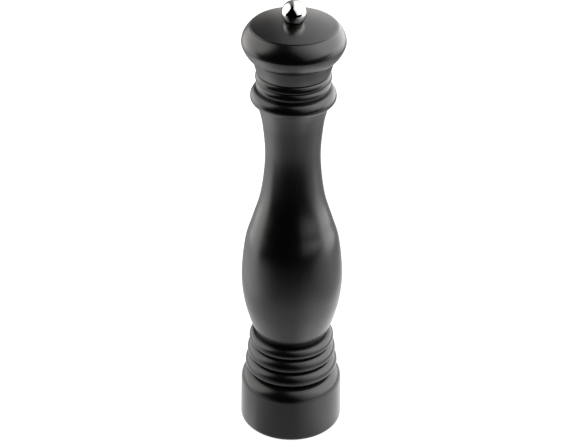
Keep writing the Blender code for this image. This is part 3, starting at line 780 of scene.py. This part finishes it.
def bare_beech():
    """Unpainted turned beech, with short dark flecks along the grain."""
    material, tree = start_material("bare_beech", {"Specular IOR Level": 0.3})
    grain = noise(tree, (700.0, 700.0, 25.0), 5.0, 0.6, 0.3)
    flecks = noise(tree, (2600.0, 2600.0, 260.0), 2.0)
    rings = noise(tree, (160.0, 60.0, 8.0), 3.0, 0.5, 0.6)
    pale = (0.56, 0.38, 0.23, 1.0)
    ruddy = (0.42, 0.25, 0.14, 1.0)
    dark = (0.25, 0.13, 0.065, 1.0)
    base = blend_colors(tree, remap(tree, rings, (0.3, 0.7), (0.0, 0.8)), pale, ruddy)
    streaked = blend_colors(tree, remap(tree, grain, (0.5, 0.75), (0.0, 0.5)), base, ruddy)
    color = blend_colors(tree, remap(tree, flecks, (0.62, 0.72), (0.0, 0.7)), streaked, dark)
    roughness = remap(tree, grain, (0.3, 0.7), (0.55, 0.72))
    surface(tree, color, roughness, [(grain, 0.00002), (flecks, 0.00003)])
    return material


def metal(name, dark, light, rough, scale, bump, extra=None):
    """A metal whose colour and roughness drift, with fine marks in its surface."""
    sockets = {"Metallic": 1.0}
    sockets.update(extra or {})
    material, tree = start_material(name, sockets)
    marks = noise(tree, scale, 4.0, 0.6)
    drift = noise(tree, (150.0, 150.0, 150.0), 3.0)
    share = math_node(tree, "MULTIPLY_ADD", marks, 0.5, times(tree, drift, 0.5))
    tone = remap(tree, share, (0.35, 0.65), (0.0, 1.0))
    color = blend_colors(tree, tone, (*dark, 1.0), (*light, 1.0))
    roughness = remap(tree, share, (0.35, 0.65), rough)
    surface(tree, color, roughness, [(marks, bump)])
    return material


def acetal():
    """White moulded plastic with a faint mottle."""
    sockets = {"Specular IOR Level": 0.45, "Subsurface Weight": 0.05}
    material, tree = start_material("white_acetal", sockets)
    mottle = noise(tree, (500.0, 500.0, 500.0), 3.0)
    tone = remap(tree, mottle, (0.3, 0.7), (0.0, 1.0))
    color = blend_colors(tree, tone, (0.80, 0.79, 0.74, 1.0), (0.87, 0.87, 0.84, 1.0))
    roughness = remap(tree, mottle, (0.3, 0.7), (0.34, 0.46))
    surface(tree, color, roughness, [(mottle, 0.000006)])
    return material


LACQUER = lacquer()
BEECH = bare_beech()
CHROME = metal(
    "polished_chrome",
    (0.80, 0.785, 0.765),
    (0.86, 0.845, 0.825),
    (0.035, 0.06),
    (900.0, 900.0, 2600.0),
    0.0000006,
    {"Specular Tint": (0.05, 0.05, 0.05, 1.0)},
)
STEEL = metal(
    "zinc_plated_steel",
    (0.50, 0.51, 0.52),
    (0.68, 0.68, 0.66),
    (0.26, 0.42),
    (900.0, 900.0, 3500.0),
    0.000004,
)
BURR_STEEL = metal(
    "case_hardened_steel",
    (0.14, 0.14, 0.15),
    (0.30, 0.30, 0.30),
    (0.34, 0.52),
    (1500.0, 1500.0, 1500.0),
    0.00001,
)
SPRING_STEEL = metal(
    "spring_steel",
    (0.34, 0.34, 0.35),
    (0.50, 0.50, 0.50),
    (0.24, 0.36),
    (2200.0, 2200.0, 2200.0),
    0.000004,
)
BRASS = metal(
    "brass",
    (0.60, 0.42, 0.18),
    (0.82, 0.62, 0.30),
    (0.22, 0.36),
    (800.0, 800.0, 2600.0),
    0.000004,
)
ACETAL = acetal()


# -------- pieces


def place(piece, materials, body, *nodes):
    """Gives a piece its materials, its body and the CAD nodes that it stands for."""
    for material in materials:
        piece.data.materials.append(material)
    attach(piece, body)
    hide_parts(*nodes)


def ring_plate(name, outer_r, inner_r, bottom_z, top_z, ease, steps=METAL_STEPS):
    """A washer or sleeve with eased edges."""
    outline = (
        (outer_r, top_z, ease),
        (outer_r, bottom_z, ease),
        (inner_r, bottom_z, ease),
        (inner_r, top_z, ease),
    )
    return turned(name, outline, steps, closed=True)


def square_holed_disc(name, radius, bottom_z, top_z, ease):
    """A round plate with eased edges and a square hole."""
    outline = ((0.0, top_z), (radius, top_z, ease), (radius, bottom_z, ease), (0.0, bottom_z))
    return turned(name, outline), square_cutter(bottom_z, top_z)


def square_cutter(bottom_z, top_z):
    """The cutter for a square hole."""
    size = (SQUARE_HOLE_SIDE, SQUARE_HOLE_SIDE, top_z - bottom_z + 2 * CUT_PAST)
    return block("square", size, (0.0, 0.0, (bottom_z + top_z) / 2))


def make_wood(name, body, section, screws, face_z, seat_z):
    """A turned wooden part, with holes from its face for screws that are seated at seat_z."""
    outline, painted = section
    wood = turned(f"mill_{name}", outline, WOOD_STEPS, closed=True, second_from=painted)
    hole_top = seat_z + screws.length + SCREW_HOLE_PAST
    combine(wood, screw_holes(screws, face_z - CUT_PAST, hole_top))
    place(wood, (LACQUER, BEECH), body, name)


def make_head_bush():
    outline = (
        (BUSH_FLANGE_R, BUSH_TOP_Z, 0.0002),
        (BUSH_FLANGE_R, BUSH_TOP_Z - BUSH_FLANGE_T, 0.0001),
        (BUSH_R, BUSH_TOP_Z - BUSH_FLANGE_T),
        (BUSH_R, BUSH_BOTTOM_Z, 0.0003),
        (BUSH_INNER_R, BUSH_BOTTOM_Z, 0.0001),
        (BUSH_INNER_R, BUSH_TOP_Z, 0.0002),
    )
    bush = turned("knob_seat_bush", outline, closed=True)
    place(bush, (BRASS,), "head", "head_bush")


def make_knob():
    place(turned("ball_knob", knob_outline()), (CHROME,), "knob", "adjusting_knob")


def make_drive_plate():
    bottom = PLATE_TOP_Z - PLATE_T
    plate, cutter = square_holed_disc("square_drive_plate", PLATE_R, bottom, PLATE_TOP_Z, 0.0002)
    holes = screw_holes(PLATE_SCREWS, bottom - CUT_PAST, PLATE_TOP_Z + CUT_PAST)
    combine(plate, [cutter, *holes])
    place(plate, (STEEL,), "head", "drive_plate")
    make_screws(PLATE_SCREWS, bottom - GAP)


def make_screws(screws, seat_z):
    """Three screws driven upwards, each with its own copy of one shape."""
    first = wood_screw(screws)
    for number, x, y, turn in screw_places(screws.circle_r):
        name = f"{screws.name}_{number}"
        screw = add_object(f"slotted_{name}", first.data.copy())
        turned_by = Matrix.Rotation(turn + SLOT_TURN * number, 4, "Z")
        screw.data.transform(Matrix.Translation((x, y, seat_z)) @ turned_by)
        place(screw, (STEEL,), screws.body, name)
    bpy.data.objects.remove(first)


def make_shaft():
    shaft = loft("square_drive_shaft", shaft_rings(), sharp=SHAFT_SHARP_ANGLE)
    place(shaft, (STEEL,), "shaft", "drive_shaft")


def make_rotor():
    top_z = ROTOR_LEVELS[0][1]
    bottom_z = ROTOR_LEVELS[-1][1]
    rings = [[(0.0, 0.0, top_z)]]
    rings += [toothed_ring(ROTOR, height) for height in heights_between(top_z, bottom_z, 40)]
    rings.append([(0.0, 0.0, bottom_z)])
    rotor = loft("burr_rotor", rings)
    combine(rotor, [square_cutter(bottom_z, top_z)])
    place(rotor, (BURR_STEEL,), "shaft", "rotor")

    washer_top = bottom_z - GAP
    washer_bottom = washer_top - ROTOR_WASHER_T
    washer = ring_plate(
        "rotor_washer_ring", ROTOR_WASHER_R, ROUND_HOLE_R, washer_bottom, washer_top, WASHER_EASE
    )
    place(washer, (STEEL,), "shaft", "rotor_washer")
    make_nut(washer_bottom - GAP)


def make_nut(top_z):
    """A hexagon nut with chamfered corners and a threaded hole."""
    bottom_z = top_z - NUT_T
    flat = NUT_ACROSS_FLATS / 2
    full = flat / math.cos(math.radians(30))
    steps = 6 * 12
    turns = even_turns(steps)
    chamfer = 0.00045

    def hexagon(height, share):
        limit = flat + (full - flat) * share
        points = []
        for turn in turns:
            lean = (turn + math.radians(30)) % math.radians(60) - math.radians(30)
            radius = min(flat / math.cos(lean), limit)
            points.append(around(radius, turn, height))
        return points

    shares = [step / 4 for step in range(5)]
    rings = [hexagon(top_z - chamfer * share, share) for share in shares]
    rings += [hexagon(bottom_z + chamfer * share, share) for share in reversed(shares)]
    rings.append(ring_of(ROUND_HOLE_R + 0.0003, bottom_z, steps))
    step_z = THREAD_PITCH / 8
    depth = 0.0002
    inset = 0.0003
    count = int((NUT_T - 2 * inset) / step_z)
    for index in range(count + 1):
        height = bottom_z + inset + index * step_z
        rings.append(thread_ring(turns, height, ROUND_HOLE_R + depth, depth, THREAD_PITCH))
    rings.append(ring_of(ROUND_HOLE_R + 0.0003, top_z, steps))
    nut = loft("rotor_hex_nut", rings, closed=True)
    place(nut, (STEEL,), "shaft", "rotor_nut")


def make_stator():
    top_z = STATOR_LEVELS[0][1]
    bottom_z = STATOR_LEVELS[-1][1]
    steps = STATOR.teeth * STATOR.per_tooth
    rim_top = bottom_z + STATOR_RIM_T
    ease = 0.0003
    outline = (
        (STATOR_R - 0.001, top_z),
        (STATOR_R, top_z, ease),
        (STATOR_R, rim_top),
        (STATOR_RIM_R, rim_top, ease),
        (STATOR_RIM_R, bottom_z, ease),
        (STATOR_RIM_R - 0.001, bottom_z),
    )
    rings = [ring_of(radius, height, steps) for radius, height in eased(outline, closed=False)]
    rings += [toothed_ring(STATOR, height) for height in heights_between(bottom_z, top_z, 34)]
    stator = loft("burr_stator_ring", rings, closed=True)
    size = (STATOR_RIM_R, STATOR_KEY_WIDTH, STATOR_RIM_T + 2 * CUT_PAST)
    keys = both_sides(size, STATOR_R + STATOR_RIM_R / 2, bottom_z + STATOR_RIM_T / 2)
    # The exact solver leaves nothing of this ring.
    combine(stator, keys, solver="MANIFOLD")
    place(stator, (BURR_STEEL,), "stand", "stator_ring")


def make_flange():
    bottom = FLANGE_TOP_Z - FLANGE_T
    flange = ring_plate("stator_flange", FLANGE_R, FLANGE_HOLE_R, bottom, FLANGE_TOP_Z, 0.00025, 160)
    cutters = screw_holes(FLANGE_SCREWS, bottom - CUT_PAST, FLANGE_TOP_Z + CUT_PAST)
    size = (BRIDGE_T + 2 * GAP, BRIDGE_TAB_WIDTH + 2 * GAP, FLANGE_T + 2 * CUT_PAST)
    cutters += both_sides(size, BRIDGE_LEG_X + BRIDGE_T / 2, bottom + FLANGE_T / 2)
    combine(flange, cutters)
    place(flange, (STEEL,), "stand", "flange")
    make_screws(FLANGE_SCREWS, bottom - GAP)


def make_bridge():
    """The stirrup: a folded strap with eased edges, a hub and two tabs."""
    leg_x = BRIDGE_LEG_X + BRIDGE_T / 2
    leg_bottom_z = FLANGE_TOP_Z + GAP
    middle_z = BRIDGE_BOTTOM_Z + BRIDGE_T / 2
    folds = 10
    line = [(leg_x, leg_bottom_z, 1.0, 0.0)]
    for step in range(folds + 1):
        turn = QUARTER_TURN * step / folds
        x = leg_x - BRIDGE_FOLD_R * (1 - math.cos(turn))
        height = middle_z - BRIDGE_FOLD_R * (1 - math.sin(turn))
        line.append((x, height, math.cos(turn), math.sin(turn)))
    line += [(-x, height, -out_x, out_z) for x, height, out_x, out_z in reversed(line)]
    half = BRIDGE_WIDTH / 2
    thin = BRIDGE_T / 2
    ease = 0.0002
    section = []
    for side_y, side_t in ((1, 1), (1, -1), (-1, -1), (-1, 1)):
        for step in range(4):
            share = step / 3
            along = share if side_y * side_t > 0 else 1 - share
            turn = QUARTER_TURN * along
            across = half - ease + ease * math.sin(turn)
            through = thin - ease + ease * math.cos(turn)
            section.append((side_y * across, side_t * through))
    shape = bmesh.new()
    rows = []
    for x, height, out_x, out_z in line:
        row = []
        for across, through in section:
            row.append(shape.verts.new((x + out_x * through, across, height + out_z * through)))
        rows.append(row)
    for first, second in zip(rows, rows[1:]):
        for index in range(len(section)):
            after = (index + 1) % len(section)
            shape.faces.new((first[index], second[index], second[after], first[after]))
    shape.faces.new(rows[0][::-1])
    shape.faces.new(rows[-1])
    bmesh.ops.recalc_face_normals(shape, faces=shape.faces)
    bridge = finish_mesh(shape, "stirrup_bridge")
    tab_top = leg_bottom_z + 0.002
    tab_size = (BRIDGE_TAB_T, BRIDGE_TAB_WIDTH, tab_top - BRIDGE_TAB_BOTTOM_Z)
    added = both_sides(tab_size, leg_x, (tab_top + BRIDGE_TAB_BOTTOM_Z) / 2)
    hub_low = middle_z - BRIDGE_HUB_T / 2
    added.append(rod("hub", BRIDGE_HUB_R, hub_low, hub_low + BRIDGE_HUB_T, steps=METAL_STEPS))
    combine(bridge, added, "UNION")
    hole_low = BRIDGE_BOTTOM_Z - CUT_PAST
    hole = rod("hole", BRIDGE_HOLE_R, hole_low, hole_low + 3 * CUT_PAST, steps=METAL_STEPS)
    combine(bridge, [hole])
    place(bridge, (STEEL,), "stand", "bridge")


def make_bridge_bush():
    flange_top = BRIDGE_BOTTOM_Z - GAP
    flange_bottom = flange_top - BRIDGE_BUSH_FLANGE_T
    outline = (
        (BRIDGE_BUSH_R, BRIDGE_BUSH_TOP_Z, 0.0003),
        (BRIDGE_BUSH_R, flange_top),
        (BRIDGE_BUSH_FLANGE_R, flange_top, 0.0003),
        (BRIDGE_BUSH_FLANGE_R, flange_bottom, 0.0003),
        (BRIDGE_BUSH_INNER_R, flange_bottom, 0.0002),
        (BRIDGE_BUSH_INNER_R, BRIDGE_BUSH_TOP_Z, 0.0002),
    )
    bush = turned("bridge_bearing_bush", outline, closed=True)
    place(bush, (ACETAL,), "stand", "bridge_bush")
    return flange_bottom


def make_washers_and_spring(bush_bottom):
    thrust_top = bush_bottom - GAP
    thrust_bottom = thrust_top - THRUST_WASHER_T
    seat_bottom = ROTOR_LEVELS[0][1] + GAP
    seat_top = seat_bottom + SPRING_WASHER_T
    for name, body, low, high in (
        ("thrust_washer", "drive", thrust_bottom, thrust_top),
        ("spring_washer", "shaft", seat_bottom, seat_top),
    ):
        washer, cutter = square_holed_disc(f"{name}_ring", THRUST_WASHER_R, low, high, WASHER_EASE)
        combine(washer, [cutter])
        place(washer, (STEEL,), body, name)
    make_spring(seat_top + GAP, thrust_bottom - GAP)


def make_spring(bottom_z, top_z):
    """The compression spring: a round wire wound as a helix with flat end turns."""
    per_turn = 48
    sides = 16
    count = round(SPRING_TURNS * per_turn)
    low = bottom_z + SPRING_WIRE_R
    high = top_z - SPRING_WIRE_R
    end_rise = SPRING_END_PITCH * SPRING_END_TURNS
    open_turns = SPRING_TURNS - 2 * SPRING_END_TURNS
    rings = []
    for index in range(count + 1):
        turns = SPRING_TURNS * index / count
        start_share = min(turns, SPRING_END_TURNS) / SPRING_END_TURNS
        end_share = max(turns - SPRING_TURNS + SPRING_END_TURNS, 0.0) / SPRING_END_TURNS
        middle = min(max(turns - SPRING_END_TURNS, 0.0), open_turns) / open_turns
        rise = end_rise * (start_share + end_share) + (high - low - 2 * end_rise) * middle
        turn = math.tau * turns
        ring = []
        for side in range(sides):
            round_wire = math.tau * side / sides
            radius = SPRING_R + SPRING_WIRE_R * math.cos(round_wire)
            height = low + rise + SPRING_WIRE_R * math.sin(round_wire)
            ring.append(around(radius, turn, height))
        rings.append(ring)
    first, last = (tuple(sum(axis) / sides for axis in zip(*rings[end])) for end in (0, -1))
    spring = loft("coil_spring", [[first], *rings, [last]])
    bpy.context.view_layer.update()
    place(spring, (SPRING_STEEL,), "drive", "compression_spring")
    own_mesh(spring)


make_wood("body", "stand", body_outline(), FLANGE_SCREWS, FOOT_RECESS_Z, FLANGE_TOP_Z)
make_stator()
make_flange()
make_bridge()
make_washers_and_spring(make_bridge_bush())
make_shaft()
make_rotor()
make_wood("head", "head", head_outline(), PLATE_SCREWS, TENON_BOTTOM_Z, TENON_BOTTOM_Z)
make_head_bush()
make_drive_plate()
make_knob()


# -------- studio

FLOOR_TONE = 0.28
FLOOR_GLOW = 0.88
FLOOR_REACH = 8.0

# The tabletop that shows in reflections: it fades out at these distances from the mill.
TABLE_GLOW = 1.20
TABLE_LEFT = (-0.46, -0.30)
TABLE_RIGHT = (0.55, 0.35)
TABLE_FRONT = (-0.34, -0.05)
TABLE_BACK = (1.6, 0.6)
TABLE_TO_RIGHT = (5.0, 50.0)
TABLE_TO_LEFT = (25.0, 85.0)
TABLE_DIMS = (0.04, 0.22)
TABLE_DIM_SHARE = 0.48
TABLE_BRIGHT = ((0.0, 0.04), (0.18, 0.13))
TABLE_BRIGHT_GAIN = 0.5
TABLE_LEFT_BRIGHT = (-0.14, -0.20)
TABLE_LEFT_GAIN = 0.7
TABLE_FAR = (0.25, 0.45)
TABLE_FAR_SHARE = 0.4
DARK_FRONT = (-0.26, -0.48)


# The panels of light. Each pair is where an edge begins and where it is full, in degrees of
# lean, side or pitch, or as the upward part of the direction. The two called LOW are a range
# of that upward part, and the share of the light at its ends.
LEAN_SLOPE = 0.3
LEAN_BEND = 0.005
RIGHT_RISE = ((36.0, 86.0), (0.0, 44.0))
RIGHT_LOW = ((-0.46, -0.12), (0.12, 1.0))
RIGHT_EDGE = ((24.0, 28.0), (-6.0, -2.0))
RIGHT_EDGE_PITCH = (-22.0, -12.0)
LEFT_RISE = ((74.0, 96.0), (26.0, 54.0))
LEFT_LOW = ((-0.50, -0.30), (0.5, 1.0))
LEFT_EDGE = ((69.0, 75.0), (26.0, 36.0))
BEHIND = ((154.0, 166.0), (215.0, 205.0))
OVERHEAD = ((76.0, 130.0), (168.0, 152.0))
BENEATH = ((200.0, 215.0), (-0.50, -0.62))
FORWARD = ((5.0, 0.0), (-0.29, -0.72))
WHITE = (1.0, 1.0, 1.0, 1.0)
WARM_WHITE = (1.0, 0.99, 0.97, 1.0)

CAMERA_PLACE = (0.00104, -1.049, 0.800)
CAMERA_DOWN = 31.71
CAMERA_ROLL = 0.51
CAMERA_LENS = 117.98
CAMERA_SENSOR = 36.0


def make_floor():
    """A plain pale floor, and the fading tabletop that the mill reflects in its place."""
    sockets = {"Roughness": 0.9, "Specular IOR Level": 0.0, "Emission Strength": FLOOR_GLOW}
    sockets["Base Color"] = (FLOOR_TONE, FLOOR_TONE, FLOOR_TONE, 1.0)
    sockets["Emission Color"] = WHITE
    floor = floor_piece("floor", start_material("plain_floor", sockets)[0])
    floor.visible_glossy = False

    material, tree = start_material("reflected_table", {})
    tree.nodes.clear()
    place = node(tree, "ShaderNodeTexCoord").outputs["Object"]
    x, y, _ = node(tree, "ShaderNodeSeparateXYZ", {0: place}).outputs
    share = ramp(tree, x, *TABLE_LEFT)
    for axis, fade in ((x, TABLE_RIGHT), (y, TABLE_FRONT), (y, TABLE_BACK)):
        share = times(tree, share, ramp(tree, axis, *fade))
    turn = math_node(tree, "ARCTAN2", x, times(tree, y, -1.0))
    to_right = times(tree, turn, math.degrees(1))
    to_left = times(tree, to_right, -1.0)
    right = ramp(tree, to_right, *TABLE_TO_RIGHT)
    left = ramp(tree, to_left, *TABLE_TO_LEFT)
    share = times(tree, share, math_node(tree, "MAXIMUM", right, left))
    dimmed = (TABLE_GLOW, TABLE_GLOW * TABLE_DIM_SHARE)
    strength = remap(tree, y, TABLE_DIMS, dimmed)
    middle = times(tree, ramp(tree, x, *TABLE_BRIGHT[0]), ramp(tree, x, *TABLE_BRIGHT[1]))
    left_part = ramp(tree, x, *TABLE_LEFT_BRIGHT)
    for bright, gain in ((middle, TABLE_BRIGHT_GAIN), (left_part, TABLE_LEFT_GAIN)):
        gained = math_node(tree, "MULTIPLY_ADD", bright, gain, 1.0)
        strength = times(tree, strength, gained)
    far_off = remap(tree, y, TABLE_FAR, (1.0, TABLE_FAR_SHARE))
    strength = times(tree, strength, far_off)
    glow = node(tree, "ShaderNodeEmission", {"Strength": strength})
    clear = node(tree, "ShaderNodeBsdfTransparent")
    lit = node(tree, "ShaderNodeMixShader", {0: share, 1: clear.outputs[0], 2: glow.outputs[0]})
    dark = node(tree, "ShaderNodeEmission", {"Strength": 0.0})
    far = ramp(tree, y, *DARK_FRONT)
    mixed = node(tree, "ShaderNodeMixShader", {0: far, 1: lit.outputs[0], 2: dark.outputs[0]})
    node(tree, "ShaderNodeOutputMaterial", {"Surface": mixed.outputs[0]})
    table = floor_piece("reflected_tabletop", material)
    table.visible_camera = False
    table.visible_diffuse = False
    table.visible_shadow = False


def floor_piece(name, material):
    """A square of floor."""
    shape = bmesh.new()
    bmesh.ops.create_grid(shape, x_segments=1, y_segments=1, size=FLOOR_REACH)
    floor = finish_mesh(shape, name)
    floor.data.materials.append(material)
    return floor


def ramp(tree, value, start, end):
    """0 at the start and 1 at the end, held outside them."""
    return remap(tree, value, (start, end), (0.0, 1.0))


def make_studio():
    """Soft boxes of light left, right and behind, drawn on the sky by direction.

    A direction is held as its angle out to the side, and its pitch about the side to side
    axis: 0 at the front, 90 overhead and 180 behind.
    """
    world = bpy.data.worlds.new("studio")
    bpy.context.scene.world = world
    world.use_nodes = True
    tree = world.node_tree
    tree.nodes.clear()
    direction = node(tree, "ShaderNodeTexCoord").outputs["Generated"]
    x, y, upright = node(tree, "ShaderNodeSeparateXYZ", {0: direction}).outputs

    side = times(tree, math_node(tree, "ARCSINE", x), math.degrees(1))
    turn = math_node(tree, "ARCTAN2", upright, times(tree, y, -1.0))
    pitch = math_node(tree, "WRAP", times(tree, turn, math.degrees(1)), 270.0, -90.0)
    bend = times(tree, times(tree, pitch, pitch), LEAN_BEND)
    lean = math_node(tree, "MULTIPLY_ADD", pitch, LEAN_SLOPE, bend)

    def both(first, second, ranges, operation="MULTIPLY"):
        """Two ramps together, each over its own value."""
        first_ramp = ramp(tree, first, *ranges[0])
        return math_node(tree, operation, first_ramp, ramp(tree, second, *ranges[1]))

    right_lean = math_node(tree, "ADD", side, lean)
    right_rise = both(right_lean, side, RIGHT_RISE, "MINIMUM")
    right_rise = times(tree, right_rise, remap(tree, upright, *RIGHT_LOW))
    right_edge = both(right_lean, side, RIGHT_EDGE)
    right_edge = times(tree, right_edge, ramp(tree, pitch, *RIGHT_EDGE_PITCH))
    other_side = times(tree, side, -1.0)
    left_lean = math_node(tree, "ADD", other_side, lean)
    left_low = remap(tree, upright, *LEFT_LOW)
    left_rise = times(tree, both(left_lean, other_side, LEFT_RISE, "MINIMUM"), left_low)
    left_edge = times(tree, both(left_lean, other_side, LEFT_EDGE), left_low)
    behind = both(pitch, pitch, BEHIND)
    overhead = both(pitch, pitch, OVERHEAD)
    beneath = both(pitch, upright, BENEATH)
    front = math_node(tree, "MAXIMUM", both(pitch, upright, FORWARD), beneath)
    panels = (
        (front, WHITE, 0.85),
        (right_edge, WHITE, 0.8),
        (right_rise, WHITE, 3.3),
        (left_edge, WARM_WHITE, 1.2),
        (left_rise, WARM_WHITE, 1.6),
        (behind, (1.0, 0.95, 0.90, 1.0), 0.55),
        (overhead, WHITE, 0.22),
    )
    light = None
    for mask, color, strength in panels:
        glow = times(tree, mask, strength)
        panel = node(tree, "ShaderNodeBackground", {"Color": color, "Strength": glow})
        if light is None:
            light = panel.outputs[0]
        else:
            light = node(tree, "ShaderNodeAddShader", {0: light, 1: panel.outputs[0]}).outputs[0]
    backdrop = node(tree, "ShaderNodeBackground", {"Color": WHITE})
    seen = node(tree, "ShaderNodeLightPath").outputs["Is Camera Ray"]
    mixed = node(tree, "ShaderNodeMixShader", {0: seen, 1: light, 2: backdrop.outputs[0]})
    node(tree, "ShaderNodeOutputWorld", {"Surface": mixed.outputs[0]})


def make_camera():
    """The viewpoint: in front of the mill and above it, rolled by half a degree."""
    data = bpy.data.cameras.new("camera")
    data.lens = CAMERA_LENS
    data.sensor_width = CAMERA_SENSOR
    camera = add_object("camera", data)
    tilt = Matrix.Rotation(math.radians(90 - CAMERA_DOWN), 4, "X")
    roll = Matrix.Rotation(math.radians(CAMERA_ROLL), 4, "Z")
    camera.matrix_world = Matrix.Translation(CAMERA_PLACE) @ tilt @ roll
    bpy.context.scene.camera = camera


make_floor()
make_studio()
make_camera()
bpy.context.scene.view_settings.view_transform = "Standard"
